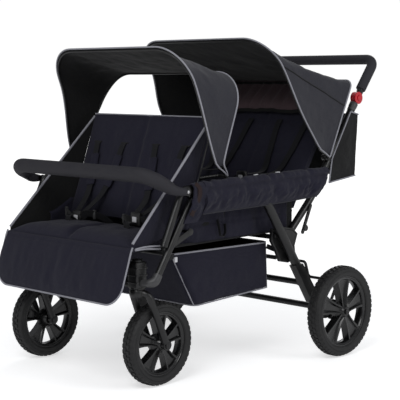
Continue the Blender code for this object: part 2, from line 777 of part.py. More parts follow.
def bumper_pin(s):
    y, z = bumper_pivot()
    start = s * LEG_X
    shoulder = s * (LEG_X + RAIL_RADIUS + BUMPER_SHOULDER_LENGTH)
    end = s * (BUMPER_X - BUMPER_PIN_END)
    profile = [(start, 0.0), (start, BUMPER_PIN_SHOULDER), (shoulder, BUMPER_PIN_SHOULDER),
               (shoulder, BUMPER_PIN_RADIUS), (end, BUMPER_PIN_RADIUS), (end, 0.0)]
    return turned_x(profile, y, z, 16)


GUSSET_OUTLINE = [
    (-0.210, 0.430), (-0.150, 0.432), (-0.104, 0.423), (-0.082, 0.404), (-0.097, 0.366),
    (-0.090, 0.322), (-0.130, 0.312), (-0.170, 0.320), (-0.190, 0.357), (-0.214, 0.392),
]


def build_fold_joints():
    for side, s in SIDES:
        outer = LEG_X - LEG_RADIUS - GAP
        inner = gusset_inner()
        plate = plate_x(GUSSET_OUTLINE, s * inner, s * outer)
        eye = PUSH_X - PUSH_RADIUS
        head_end = eye - GAP * 3 - FOLD_PIN_HEAD_LENGTH
        head_start = eye - GAP * 3
        pin = turned_x([
            (s * head_end, 0.0), (s * head_end, FOLD_PIN_HEAD_RADIUS),
            (s * head_start, FOLD_PIN_HEAD_RADIUS), (s * head_start, FOLD_PIN_RADIUS),
            (s * (inner + 0.003), FOLD_PIN_RADIUS), (s * (inner + 0.003), 0.0),
        ], *FOLD_PIVOT, steps=16)
        add_piece(f"{side}_gusset", union(plate, pin), "chassis", "plastic")

        lever = plate_x(lever_outline(), s * (PUSH_X + PUSH_RADIUS + RUNNING_GAP),
                        s * (PUSH_X + PUSH_RADIUS + RUNNING_GAP + LEVER_THICKNESS))
        knob_at = along(LEVER_TOE, LEVER_PIVOT, KNOB_RISE)
        knob_at = (knob_at[0] + KNOB_OFFSET, knob_at[1])
        start = PUSH_X + PUSH_RADIUS + RUNNING_GAP + LEVER_THICKNESS - 0.001
        knob = rod_x(s * start, s * (start + KNOB_LENGTH), *knob_at, KNOB_RADIUS)
        pin = rod_x(s * (PUSH_X + PUSH_RADIUS - 0.004), s * start, *LEVER_PIVOT,
                    LEVER_PIN_RADIUS, 12)
        add_piece(f"{side}_lock_lever", union(lever, knob, pin), f"{side}_lock_lever", "plastic")


def lever_outline():
    """Strip from the lever's pivot to its toe, with round ends."""
    heading = atan2(LEVER_TOE[1] - LEVER_PIVOT[1], LEVER_TOE[0] - LEVER_PIVOT[0])
    outline = []
    for centre, start in ((LEVER_PIVOT, heading + pi / 2), (LEVER_TOE, heading - pi / 2)):
        for i in range(7):
            turn = start + pi * i / 6
            outline.append((centre[0] + LEVER_HALF_WIDTH * cos(turn),
                            centre[1] + LEVER_HALF_WIDTH * sin(turn)))
    return outline


# Cross members, rear hubs and brake

def build_rear_members():
    reach = LEG_X - LEG_RADIUS - GAP
    add_piece("rear_axle_tube", rod_x(-reach, reach, *REAR_AXLE, AXLE_TUBE_RADIUS),
              "chassis", "frame_black")
    add_piece("rear_crossbar",
              rod_x(-reach, reach, leg_y(REAR_CROSSBAR_Z), REAR_CROSSBAR_Z,
                    REAR_CROSSBAR_RADIUS), "chassis", "frame_black")
    build_seat_bars()
    start = LEG_X + LEG_RADIUS + GAP
    end = housing_end()
    cap = REAR_WHEEL_X + HUB_HALF_LENGTH + RUNNING_GAP
    for side, s in SIDES:
        hub = turned_x([
            (s * start, 0.0), (s * start, HUB_HOUSING_RADIUS * 0.8),
            (s * (start + 0.006), HUB_HOUSING_RADIUS), (s * end, HUB_HOUSING_RADIUS),
            (s * end, NECK_RADIUS), (s * neck_end(), NECK_RADIUS), (s * neck_end(), AXLE_RADIUS),
            (s * cap, AXLE_RADIUS), (s * cap, AXLE_HEAD_RADIUS),
            (s * (cap + AXLE_HEAD_LENGTH), AXLE_HEAD_RADIUS * 0.8),
            (s * (cap + AXLE_HEAD_LENGTH), 0.0),
        ], *REAR_AXLE, steps=16)
        bore = rod_x(s * (end - 0.018), s * (end + 0.01), *brake_pin_place(),
                     BRAKE_PIN_RADIUS + BORE_CLEARANCE, 12)
        add_piece(f"{side}_rear_hub", cut(hub, bore), "chassis", "plastic")
        tip = REAR_WHEEL_X - rear_hub_reach() - RUNNING_GAP
        add_piece(f"{side}_brake_pin",
                  rod_x(s * (tip - BRAKE_PIN_LENGTH), s * tip, *brake_pin_place(),
                        BRAKE_PIN_RADIUS, 12), f"{side}_brake_pin", "steel")
    build_brake_bar()


def build_seat_bars():
    """Cross tubes that the seats rest on; the front one carries the backrest's hinge pins."""
    bar_z = TUB_FLOOR_Z - GAP - SEAT_BAR_RADIUS
    reach = gusset_inner() - GAP
    add_piece("rear_seat_bar", rod_x(-reach, reach, REAR_SEAT_BAR_Y, bar_z, SEAT_BAR_RADIUS),
              "chassis", "frame_black")
    reach = LEG_X - RAIL_RADIUS - GAP
    bar = rod_x(-reach, reach, FRONT_SEAT_BAR_Y, bar_z, SEAT_BAR_RADIUS)
    brackets = []
    for s in (1, -1):
        inner = SEAT_FRONT_HALF_WIDTH + RUNNING_GAP
        outer = inner + SEAT_BRACKET_THICKNESS
        brackets.append(strip((FRONT_SEAT_BAR_Y, bar_z), FRONT_CREASE, SEAT_BRACKET_HALF_WIDTH,
                              s * inner, s * outer))
        brackets.append(rod_x(s * (inner - EDGE_STEP), s * (outer + EDGE_STEP), *FRONT_CREASE,
                              SEAT_BRACKET_HALF_WIDTH + 0.002))
        brackets.append(rod_x(s * (BACK_FRAME_X - BACK_FRAME_RADIUS - 0.002), s * (inner + EDGE_STEP),
                              *FRONT_CREASE, BACK_PIN_RADIUS))
    add_piece("front_seat_bar", union(bar, *brackets), "chassis", "frame_black")


def gusset_inner():
    return LEG_X - LEG_RADIUS - GAP - GUSSET_THICKNESS


def brake_pin_place():
    return (REAR_AXLE[0] - BRAKE_PIN_CIRCLE, REAR_AXLE[1])


def build_brake_bar():
    """Bent foot bar, hinged round the necks of both rear hubs."""
    eye_x = housing_end() + RUNNING_GAP + BRAKE_EYE_WIDTH / 2
    root = along(REAR_AXLE, BRAKE_BAR, BRAKE_ROD_ROOT)
    knee = along(REAR_AXLE, BRAKE_BAR, BRAKE_ROD_KNEE)
    half = [(eye_x, *root), (eye_x, *knee), (BRAKE_SHOULDER_X, *BRAKE_BAR),
            (BRAKE_STEP_X, *BRAKE_BAR), (BRAKE_PEDAL_X, *BRAKE_PEDAL)]
    route = half + [(-x, y, z) for x, y, z in reversed(half)]
    bar = tube(rounded(route, BRAKE_BEND_RADIUS, 3), BRAKE_ROD_RADIUS, 2)
    eyes = []
    for s in (1, -1):
        a, b = s * (eye_x - BRAKE_EYE_WIDTH / 2), s * (eye_x + BRAKE_EYE_WIDTH / 2)
        bore = NECK_RADIUS + BORE_CLEARANCE
        eyes.append(turned_x([(a, bore), (a, BRAKE_EYE_RADIUS), (b, BRAKE_EYE_RADIUS), (b, bore)],
                             *REAR_AXLE, steps=16, ring=True))
    add_piece("brake_bar", union(bar, *eyes), "brake_bar", "frame_black")


# Push frame and handle

def build_push_frame():
    for side, s in SIDES:
        x = s * PUSH_X
        top = along(HANDLE_PIVOT, PUSH_BEND, HINGE_NECK + 0.002)
        route = rounded([side_point(p, x) for p in (FOLD_PIVOT, PUSH_BEND, top)],
                        PUSH_BEND_RADIUS)
        push = tube(route, PUSH_RADIUS)
        eye = rod_x(s * (PUSH_X - PUSH_RADIUS), s * (PUSH_X + PUSH_RADIUS), *FOLD_PIVOT,
                    PIVOT_EYE_RADIUS, 20)
        lever_hole = rod_x(s * (PUSH_X + PUSH_RADIUS - 0.005), s * (PUSH_X + PUSH_RADIUS + 0.01),
                           *LEVER_PIVOT, LEVER_PIN_RADIUS + BORE_CLEARANCE, 12)
        pin_hole = rod_x(s * (PUSH_X - 0.03), s * (PUSH_X + 0.03), *FOLD_PIVOT,
                         FOLD_PIN_RADIUS + BORE_CLEARANCE, 16)
        hoop_hole = rod_x(s * PUSH_X, s * (PUSH_X + 0.03), *REAR_CANOPY_PIVOT,
                          HOOP_PIN_RADIUS + BORE_CLEARANCE, 12)
        clamp = hoop_bracket(s)
        push = cut(union(push, eye, clamp), pin_hole, lever_hole, hoop_hole)
        add_piece(f"{side}_push_tube", push, "push_frame", "frame_black")

        split = RUNNING_GAP / 4
        inner, outer = PUSH_X - PUSH_RADIUS + 0.001, PUSH_X + PUSH_RADIUS - 0.001
        disc = rod_x(s * inner, s * (PUSH_X - split), *HANDLE_PIVOT, HINGE_DISC_RADIUS, 20)
        down = along(HANDLE_PIVOT, PUSH_BEND, HINGE_NECK + 0.004)
        neck = strip(HANDLE_PIVOT, down, 0.009, s * inner, s * (PUSH_X - split))
        low = along(HANDLE_PIVOT, PUSH_BEND, HINGE_NECK + HINGE_COLLAR_LENGTH)
        high = along(HANDLE_PIVOT, PUSH_BEND, HINGE_NECK - 0.003)
        collar = tube([side_point(high, x), side_point(low, x)], HINGE_COLLAR_RADIUS)
        start = along(HANDLE_PIVOT, PUSH_BEND, HINGE_NECK + 0.0015)
        beyond = along(HANDLE_PIVOT, PUSH_BEND, HINGE_NECK + HINGE_COLLAR_LENGTH + 0.02)
        socket = tube([side_point(start, x), side_point(beyond, x)], PUSH_RADIUS + GAP)
        add_piece(f"{side}_handle_hinge", cut(union(disc, neck, collar), socket),
                  "push_frame", "red_plastic")

        button = rod_x(s * (PUSH_X + BUTTON_RECESS + BUTTON_TRAVEL + GAP),
                       s * (outer + BUTTON_PROUD), *HANDLE_PIVOT, BUTTON_RADIUS, 20)
        add_piece(f"{side}_handle_button", button, f"{side}_handle_button", "red_plastic")

    corner = HANDLE_CORNER
    base = along(HANDLE_PIVOT, corner, HINGE_NECK)
    route = [side_point(base, PUSH_X), side_point(corner, PUSH_X),
             side_point(corner, -PUSH_X), side_point(base, -PUSH_X)]
    bar = tube(rounded(route, HANDLE_CORNER_RADIUS, 5), HANDLE_TUBE_RADIUS, 2)
    joins = []
    holes = []
    for s in (1, -1):
        inner, outer = PUSH_X + split, PUSH_X + PUSH_RADIUS - 0.001
        joins.append(rod_x(s * inner, s * outer, *HANDLE_PIVOT, HINGE_DISC_RADIUS, 20))
        up = along(HANDLE_PIVOT, corner, HINGE_NECK + 0.006)
        joins.append(strip(HANDLE_PIVOT, up, 0.0088, s * (inner + 0.0003), s * (PUSH_X + 0.0103)))
        holes.append(rod_x(s * (PUSH_X + BUTTON_RECESS), s * (outer + 0.01), *HANDLE_PIVOT,
                           BUTTON_RADIUS + BORE_CLEARANCE, 20))
    add_piece("handle_bar", cut(union(bar, *joins), *holes), "handle", "frame_black")

    start = along(HANDLE_PIVOT, corner, GRIP_START)
    route = [side_point(start, PUSH_X), side_point(corner, PUSH_X),
             side_point(corner, -PUSH_X), side_point(start, -PUSH_X)]
    sleeve = tube(rounded(route, HANDLE_CORNER_RADIUS, 5), GRIP_RADIUS)
    below = along(HANDLE_PIVOT, corner, GRIP_START - 0.01)
    route[0], route[-1] = side_point(below, PUSH_X), side_point(below, -PUSH_X)
    core = tube(rounded(route, HANDLE_CORNER_RADIUS, 5), HANDLE_TUBE_RADIUS + GAP, 2)
    add_piece("handle_grip", cut(sleeve, core), "handle", "foam")


def strip(start, end, half_width, x0, x1):
    """Straight flat bar in side view, from x0 to x1."""
    length = hypot(end[0] - start[0], end[1] - start[1])
    across = (-(end[1] - start[1]) / length * half_width, (end[0] - start[0]) / length * half_width)
    outline = [(start[0] + across[0], start[1] + across[1]),
               (start[0] - across[0], start[1] - across[1]),
               (end[0] - across[0], end[1] - across[1]),
               (end[0] + across[0], end[1] + across[1])]
    return plate_x(outline, x0, x1)


def hoop_bracket(s):
    """Lug on the push tube that carries the rear canopy's pivot."""
    anchor = (REAR_CANOPY_PIVOT[0] + LUG_LENGTH, REAR_CANOPY_PIVOT[1] - LUG_DROP)
    inner, outer = s * (PUSH_X - 0.006), s * (PUSH_X + PUSH_RADIUS)
    lug = strip(REAR_CANOPY_PIVOT, anchor, LUG_RADIUS, inner, outer)
    round_end = rod_x(inner, outer, *REAR_CANOPY_PIVOT, LUG_RADIUS)
    return union(lug, round_end)


# Canopies

ARCH_LEG_STEPS = 5
ARCH_CORNER_STEPS = 5
ARCH_TOP_STEPS = 4
ARCH_STEPS = 2 * ARCH_LEG_STEPS + 2 * ARCH_CORNER_STEPS + ARCH_TOP_STEPS


def arch_point(share, half_width, height, corner, start=0.0):
    """Place and outward direction on an arch, in its own plane, for a share from 0 to 1."""
    count = share * ARCH_STEPS
    mirrored = count > ARCH_STEPS / 2
    if mirrored:
        count = ARCH_STEPS - count
    if count <= ARCH_LEG_STEPS:
        x = half_width
        h = start + (height - corner - start) * count / ARCH_LEG_STEPS
        nx, nh = 1.0, 0.0
    elif count <= ARCH_LEG_STEPS + ARCH_CORNER_STEPS:
        turn = (count - ARCH_LEG_STEPS) / ARCH_CORNER_STEPS * pi / 2
        nx, nh = cos(turn), sin(turn)
        x = half_width - corner + corner * nx
        h = height - corner + corner * nh
    else:
        left = (count - ARCH_LEG_STEPS - ARCH_CORNER_STEPS) / (ARCH_TOP_STEPS / 2)
        x = (half_width - corner) * (1 - left)
        h = height
        nx, nh = 0.0, 1.0
    return (-x, h, -nx, nh) if mirrored else (x, h, nx, nh)


def bow(pivot, angle, half_width, height, corner, start=0.0):
    """Round wire bent to an arch that stands on a pivot at an angle."""
    path = []
    for i in range(ARCH_STEPS + 1):
        x, h, _, _ = arch_point(i / ARCH_STEPS, half_width, height, corner, start)
        if ARCH_LEG_STEPS > i > 0 or ARCH_STEPS > i > ARCH_STEPS - ARCH_LEG_STEPS:
            continue
        path.append(side_point(polar(pivot, angle, h), x))
    return tube(path, WIRE_RADIUS, 1)


def canopy(pivot, rear, front, corner, start, sag, thickness):
    """Fabric stretched between two arches, each given as (angle, half width, length)."""
    def rule(u, v, w):
        lift = (w + 0.5) * thickness
        edges = []
        for angle, half_width, height in (rear, front):
            x, h, nx, nh = arch_point(u + 0.5, half_width, height, corner, start)
            edges.append(side_point(polar(pivot, angle, h + nh * lift), x + nx * lift))
        place = edges[0].lerp(edges[1], v + 0.5)
        place.z -= sag * nh * (1 - (2 * v) ** 2)
        return place
    return moulded((ARCH_STEPS - 1, 5, 0), rule)


def front_bow_x():
    """The front canopy's rear bow stands just inside its hoop."""
    return FRONT_HOOP_X - 2 * WIRE_RADIUS - GAP


def build_front_canopy():
    pivot = FRONT_CANOPY_PIVOT
    outer = WIRE_RADIUS + GAP
    bow_x = front_bow_x()
    inner_boss = [rod_x(s * (bow_x - WIRE_RADIUS), s * (bow_x + WIRE_RADIUS), *pivot,
                        CANOPY_BOSS_RADIUS) for s in (1, -1)]
    wire = bow(pivot, FRONT_BOW_ANGLE, bow_x, FRONT_BOW_LENGTH, CANOPY_CORNER_RADIUS)
    add_piece("front_canopy_bow", union(wire, *inner_boss), "front_backrest", "frame_black")
    outer_boss = [rod_x(s * (FRONT_HOOP_X - WIRE_RADIUS), s * (FRONT_HOOP_X + WIRE_RADIUS), *pivot,
                        CANOPY_BOSS_RADIUS) for s in (1, -1)]
    wire = bow(pivot, FRONT_HOOP_ANGLE, FRONT_HOOP_X, FRONT_HOOP_LENGTH, CANOPY_CORNER_RADIUS)
    add_piece("front_hoop", union(wire, *outer_boss), "front_hoop", "frame_black")
    side = FRONT_HOOP_X + outer
    add_piece("front_canopy",
              canopy(pivot, (FRONT_BOW_ANGLE, side, FRONT_BOW_LENGTH + outer + EDGE_SLACK),
                     (FRONT_HOOP_ANGLE, side, FRONT_HOOP_LENGTH + outer + EDGE_SLACK),
                     CANOPY_CORNER_RADIUS + outer, CANOPY_START, FRONT_CANOPY_SAG,
                     FABRIC_THICKNESS),
              "front_hoop", "canopy_fabric")


def build_rear_canopy():
    pivot = REAR_CANOPY_PIVOT
    outer = WIRE_RADIUS + GAP
    wire = bow(pivot, REAR_HOOP_ANGLE, REAR_HOOP_X, REAR_HOOP_LENGTH, REAR_CORNER_RADIUS)
    bosses = []
    for s in (1, -1):
        bosses.append(rod_x(s * (REAR_HOOP_X - WIRE_RADIUS), s * (REAR_HOOP_X + WIRE_RADIUS),
                            *pivot, CANOPY_BOSS_RADIUS))
        bosses.append(rod_x(s * (PUSH_X + 0.006), s * REAR_HOOP_X, *pivot, HOOP_PIN_RADIUS, 12))
    add_piece("rear_hoop", union(wire, *bosses), "rear_hoop", "frame_black")
    start = LUG_RADIUS + GAP + WIRE_RADIUS / 2
    wire = bow(pivot, REAR_BOW_ANGLE, REAR_BOW_X, REAR_BOW_LENGTH, REAR_CORNER_RADIUS, start)
    add_piece("rear_canopy_bow", wire, "push_frame", "frame_black")
    rear_side = REAR_HOOP_X + outer
    add_piece("rear_canopy",
              canopy(pivot, (REAR_BOW_ANGLE, rear_side, REAR_BOW_LENGTH + outer),
                     (REAR_HOOP_ANGLE, rear_side, REAR_HOOP_LENGTH + outer + EDGE_SLACK),
                     REAR_CORNER_RADIUS + outer, CANOPY_START, REAR_CANOPY_SAG,
                     FABRIC_THICKNESS),
              "rear_hoop", "canopy_fabric")


# Soft goods of the front seats

def build_front_seats():
    base = TUB_FLOOR_Z + TUB_WALL + GAP

    def seat_rule(u, v, w):
        share = v + 0.5
        y = SEAT_FRONT_Y + (SEAT_REAR_Y - SEAT_FRONT_Y) * share
        half = SEAT_FRONT_HALF_WIDTH + (SEAT_REAR_HALF_WIDTH - SEAT_FRONT_HALF_WIDTH) * share
        half -= DRAWN_IN * (1 - abs(2 * v) ** 2) * abs(2 * u) ** 8
        if w < 0:
            return Vector((2 * u * half, y, base))
        dip = 0.45 * channel(u, 0.03)
        top = base + SEAT_EDGE + SEAT_CROWN * crown(u, v, 6) * (1 - dip)
        return Vector((2 * u * half, y, top))
    add_piece("front_seat_cushion", moulded((13, 7, 0), seat_rule), "chassis", "seat_fabric")

    top = base + SEAT_EDGE

    def calf_rule(u, v, w):
        share = 0.5 - v
        back = SEAT_FRONT_Y - GAP + (CALF_HEM[0] - SEAT_FRONT_Y + GAP) * share
        z = top + (CALF_HEM[1] - top) * share
        rest = (1 - share) * (top - CALF_HEM[1])
        half = SEAT_FRONT_HALF_WIDTH + (CALF_HALF_WIDTH - SEAT_FRONT_HALF_WIDTH) * share
        half -= corner_inset(rest, CALF_CORNER_RADIUS)
        if w > 0:
            return Vector((2 * u * half, back, z))
        thick = CALF_THICKNESS * (0.35 + 0.65 * crown(u, v, 6)) + CALF_BULGE * sin(pi * share)
        return Vector((2 * u * half, back - thick, z))
    add_piece("calf_panel", moulded((11, 9, 0), calf_rule), "chassis", "seat_fabric")

    add_piece("front_backrest",
              backrest(FRONT_CREASE, FRONT_BACK_TOP, FRONT_BACK_HALF_WIDTH, FRONT_BACK_THICKNESS,
                       FRONT_CREASE_CLEARANCE),
              "front_backrest", "seat_fabric")
    build_back_frame()
    for side, s in SIDES:
        add_piece(f"{side}_front_wing", wing(s), "chassis", "seat_fabric")


def corner_inset(rest, radius):
    """How far a rounded corner has drawn an edge in, at a distance from the end."""
    if rest >= radius:
        return 0.0
    return radius - sqrt(max(radius ** 2 - (radius - rest) ** 2, 0.0))


def backrest(crease, top, half_width, thickness, clearance):
    """Padded panel that leans from a seat's crease: flat back, crowned front with a middle seam."""
    length = hypot(top[0] - crease[0], top[1] - crease[1])
    lean = atan2(top[1] - crease[1], top[0] - crease[0])

    def rule(u, v, w):
        reach = clearance + (length - clearance) * (v + 0.5)
        half = half_width - DRAWN_IN * (1 - abs(2 * v) ** 2) * abs(2 * u) ** 8
        half -= corner_inset(length - reach, BACK_CORNER_RADIUS)
        offset = thickness / 2
        if w < 0:
            seam = 0.40 * channel(u, 0.025) + 0.25 * channel(v + 0.05, 0.05)
            pad = (0.30 + 0.70 * crown(u, v, 6)) * (1 - seam)
            offset *= -pad
        y = crease[0] + reach * cos(lean) + offset * sin(lean)
        z = crease[1] + reach * sin(lean) - offset * cos(lean)
        return Vector((2 * u * half, y, z))
    return moulded((11, 9, 0), rule)


def behind(crease, top, reach, offset):
    """Side-view point at a reach up a backrest and an offset behind it."""
    lean = atan2(top[1] - crease[1], top[0] - crease[0])
    return (crease[0] + reach * cos(lean) + offset * sin(lean),
            crease[1] + reach * sin(lean) - offset * cos(lean))


def build_back_frame():
    """Tube behind the front backrest, with the feet that carry the canopy's pivots."""
    offset = FRONT_BACK_THICKNESS / 2 + BACK_FRAME_RADIUS + GAP
    low = behind(FRONT_CREASE, FRONT_BACK_TOP, BACK_FRAME_LOW, offset)
    high = behind(FRONT_CREASE, FRONT_BACK_TOP, BACK_FRAME_HIGH, offset)
    route = [side_point(low, BACK_FRAME_X), side_point(high, BACK_FRAME_X),
             side_point(high, -BACK_FRAME_X), side_point(low, -BACK_FRAME_X)]
    frame = tube(rounded(route, BACK_FRAME_CORNER, 4), BACK_FRAME_RADIUS, 2)
    root = behind(FRONT_CREASE, FRONT_BACK_TOP, CANOPY_FOOT_ROOT, offset)
    web = behind(FRONT_CREASE, FRONT_BACK_TOP, 2 * BACK_FRAME_LOW, offset + 0.002)
    feet = []
    bores = []
    for s in (1, -1):
        end = s * (front_bow_x() - WIRE_RADIUS - GAP)
        mid = s * (BACK_FRAME_X + CANOPY_FOOT_KNEE)
        feet.append(tube(rounded([
            (s * BACK_FRAME_X, *root), (mid, *FRONT_CANOPY_PIVOT), (end, *FRONT_CANOPY_PIVOT),
        ], CANOPY_FOOT_BEND, 3), CANOPY_FOOT_RADIUS, 2))
        inner, outer = s * (BACK_FRAME_X - BACK_FRAME_RADIUS), s * (BACK_FRAME_X + BACK_FRAME_RADIUS)
        feet.append(rod_x(inner, outer, *FRONT_CREASE, BACK_EYE_RADIUS))
        feet.append(strip(FRONT_CREASE, web, BACK_FRAME_RADIUS * 0.8, inner + s * EDGE_STEP,
                          outer - s * EDGE_STEP))
        bores.append(rod_x(inner - s * 0.004, outer + s * 0.004, *FRONT_CREASE,
                           BACK_PIN_RADIUS + BORE_CLEARANCE))
    add_piece("front_backrest_frame", cut(union(frame, *feet), *bores), "front_backrest",
              "frame_black")


def wing(s):
    """Side panel between the front backrest's edge and the seat's front corner."""
    seat_top = TUB_FLOOR_Z + TUB_WALL + 2 * GAP + SEAT_EDGE
    rear_low = behind(FRONT_CREASE, FRONT_BACK_TOP, FRONT_CREASE_CLEARANCE + 0.002, 0.0)
    rear_top = behind(FRONT_CREASE, FRONT_BACK_TOP, WING_HEIGHT, 0.0)

    def rule(u, v, w):
        forward = u + 0.5
        up = v + 0.5
        rear = (rear_low[0] + (rear_top[0] - rear_low[0]) * up,
                rear_low[1] + (rear_top[1] - rear_low[1]) * up)
        front = (SEAT_FRONT_Y + 0.008, seat_top + WING_LIFT + WING_FRONT_HEIGHT * up)
        y = rear[0] + (front[0] - rear[0]) * forward
        z = rear[1] + (front[1] - rear[1]) * forward
        x = FRONT_BACK_HALF_WIDTH + GAP + WING_FLARE * forward
        return Vector((s * (x + (w + 0.5) * WING_THICKNESS), y, z))
    return moulded((5, 5, 0), rule)


# Soft goods of the rear seats

def build_rear_seats():
    inner = TUB_OUTER_X - TUB_WALL
    floor_top = TUB_FLOOR_Z + TUB_WALL

    def seat_rule(u, v, w):
        share = v + 0.5
        y = REAR_SEAT_FRONT_Y + (REAR_SEAT_REAR_Y - REAR_SEAT_FRONT_Y) * share
        half = inner - 0.003 - 0.004 * (1 - abs(2 * v) ** 2) * abs(2 * u) ** 8
        if w < 0:
            return Vector((2 * u * half, y, floor_top + GAP))
        dip = 0.45 * channel(u, 0.03)
        height = REAR_SEAT_HEIGHT * (0.55 + 0.45 * crown(u, v, 6) * (1 - dip))
        return Vector((2 * u * half, y, floor_top + height))
    add_piece("rear_seat_cushion", moulded((13, 7, 0), seat_rule), "chassis", "seat_fabric")
    add_piece("rear_backrest",
              backrest(REAR_CREASE, REAR_BACK_TOP, REAR_BACK_HALF_WIDTH, REAR_BACK_THICKNESS,
                       CREASE_ROLL_RADIUS + GAP),
              "rear_backrest", "lining")

    outside = tub_shape(TUB_OUTER_X, TUB_FLOOR_Z, 0.0, 0.0)
    hollow = tub_shape(inner, floor_top, TUB_WALL, 0.05)
    low = box((-inner, REAR_CREASE[0] - TUB_WALL - 0.001, REAR_CREASE[1]), (inner, 0.2, 0.8))
    roll = rod_x(-inner, inner, *REAR_CREASE, CREASE_ROLL_RADIUS)
    front = box((-TUB_FRONT_FLOOR_HALF_WIDTH, TUB_FRONT_FLOOR_Y, TUB_FLOOR_Z),
                (TUB_FRONT_FLOOR_HALF_WIDTH, TUB_FRONT_LOW_Y + 0.001, floor_top))
    tub = union(cut(outside, hollow, low), roll, front)
    add_piece("seat_tub", tub, "chassis", "seat_fabric")


def tub_shape(half_width, floor, inset, extra):
    slope = (TUB_FRONT_HIGH_Y - TUB_FRONT_LOW_Y) / (TUB_RIM_FRONT_Z - TUB_FLOOR_Z)
    rear = REAR_CREASE[0] - inset
    outline = [(TUB_FRONT_LOW_Y + inset * (1 + slope), floor), (rear, floor),
               (rear, TUB_RIM_REAR_Z + extra),
               (TUB_FRONT_HIGH_Y + inset + slope * extra, TUB_RIM_FRONT_Z + extra)]
    return plate_x(outline, -half_width, half_width)


def build_side_wraps():
    """Padded band over each side rail, hanging outside the rear leg."""
    for side, s in SIDES:
        def rule(u, v, w, s=s):
            share = u + 0.5
            y = WRAP_FRONT_Y + (WRAP_REAR_Y - WRAP_FRONT_Y) * share
            rail_z = rail_height(y)
            top = rail_z + RAIL_RADIUS + GAP
            gather = WRAP_GATHER * cos(2 * pi * WRAP_GATHERS * share)
            turn = v + 0.5
            width = WRAP_OUTER_X - WRAP_THICKNESS - WRAP_INNER_X
            if turn < 0.34:
                part = turn / 0.34
                x, z, nx, nz = WRAP_INNER_X + 0.62 * width * part, top, 0.0, 1.0
            elif turn < 0.52:
                part = (turn - 0.34) / 0.18
                nx, nz = sin(part * pi / 2), cos(part * pi / 2)
                x = WRAP_INNER_X + 0.62 * width + 0.38 * width * nx
                z = top - 0.38 * width * (1 - nz)
            else:
                part = (turn - 0.52) / 0.48
                x, nx, nz = WRAP_INNER_X + width, 1.0, 0.0
                z = top - 0.38 * width - (WRAP_DROP - 0.38 * width) * part
            lift = (w + 0.5) * (WRAP_THICKNESS + gather)
            return Vector((s * (x + nx * lift), y, z + nz * lift))
        add_piece(f"{side}_side_wrap", moulded((17, 8, 0), rule), "chassis", "seat_fabric")


def build_basket():
    """Open basket slung under the tub, with a strap at each corner."""
    outside = basket_shape(BASKET_HALF_WIDTH, 0.0, 0.0)
    hollow = basket_shape(BASKET_HALF_WIDTH - BASKET_WALL, BASKET_WALL, 0.05)
    shell = cut(outside, hollow)
    straps = []
    leg_z = BASKET_TOP_FRONT[1] - FRONT_STRAP_DROP
    up = (Vector((0, *FRONT_LEG_TOP)) - Vector((0, *FRONT_LEG_BOTTOM))).normalized()
    for s in (1, -1):
        inside = s * (BASKET_HALF_WIDTH - 0.002)
        start = Vector((inside, BASKET_TOP_FRONT[0] + FRONT_STRAP_INSET, leg_z))
        leg = Vector((s * LEG_X, front_leg_y(leg_z), leg_z))
        aside = (start - leg) - up * (start - leg).dot(up)
        end = leg + aside.normalized() * (RAIL_RADIUS + GAP)
        straps.append(ribbon(start, end, up))
        hook = s * (gusset_inner() - GAP)
        rear = BASKET_TOP_REAR[0] - REAR_STRAP_INSET
        straps.append(box_between((inside, rear - REAR_STRAP_WIDTH, REAR_STRAP_Z[0]),
                                  (hook, rear, REAR_STRAP_Z[1])))
    add_piece("basket", union(shell, *straps), "chassis", "seat_fabric")


def box_between(a, b):
    low = [min(p, q) for p, q in zip(a, b)]
    high = [max(p, q) for p, q in zip(a, b)]
    return box(low, high)


def ribbon(start, end, up):
    """Flat strap between two points, its width lying along up."""
    heading = (end - start).normalized()
    across = heading.cross(up).normalized()

    def rule(u, v, w):
        place = start.lerp(end, u + 0.5)
        return place + across * (v * STRAP_THICKNESS) + up * (w * 2 * STRAP_HALF_WIDTH)
    return moulded((0, 0, 0), rule)


def basket_shape(half_width, inset, extra):
    front_slope = (BASKET_TOP_FRONT[0] - BASKET_LOW_FRONT[0]) / (
        BASKET_TOP_FRONT[1] - BASKET_LOW_FRONT[1])
    rear_slope = (BASKET_TOP_REAR[0] - BASKET_LOW_REAR[0]) / (
        BASKET_TOP_REAR[1] - BASKET_LOW_REAR[1])
    outline = [
        (BASKET_LOW_FRONT[0] + inset + front_slope * inset, BASKET_LOW_FRONT[1] + inset),
        (BASKET_LOW_REAR[0] - inset + rear_slope * inset, BASKET_LOW_REAR[1] + inset),
        (BASKET_TOP_REAR[0] - inset + rear_slope * extra, BASKET_TOP_REAR[1] + extra),
        (BASKET_TOP_FRONT[0] + inset + front_slope * extra, BASKET_TOP_FRONT[1] + extra),
    ]
    return plate_x(outline, -half_width, half_width)


def build_pocket():
    """Fabric panel behind the push tubes, with side gussets outside them."""
    inner = PUSH_X + PUSH_RADIUS + GAP
    outer = inner + POCKET_WALL
    outline = [POCKET_SIDE_BOTTOM, POCKET_BACK_BOTTOM, POCKET_BACK_TOP, POCKET_SIDE_TOP,
               POCKET_SIDE_MID]
    outside = plate_x(outline, -outer, outer)
    hollow_outline = [(-0.2, 0.3), (POCKET_BACK_BOTTOM[0] - 0.016, 0.3),
                      (POCKET_BACK_BOTTOM[0] - POCKET_WALL, POCKET_BACK_BOTTOM[1]),
                      (POCKET_BACK_TOP[0] - POCKET_WALL, POCKET_BACK_TOP[1]),
                      (POCKET_BACK_TOP[0] + 0.004, 1.1), (-0.2, 1.1)]
    hollow = plate_x(hollow_outline, -inner, inner)
    add_piece("rear_pocket", cut(outside, hollow), "push_frame", "lining")


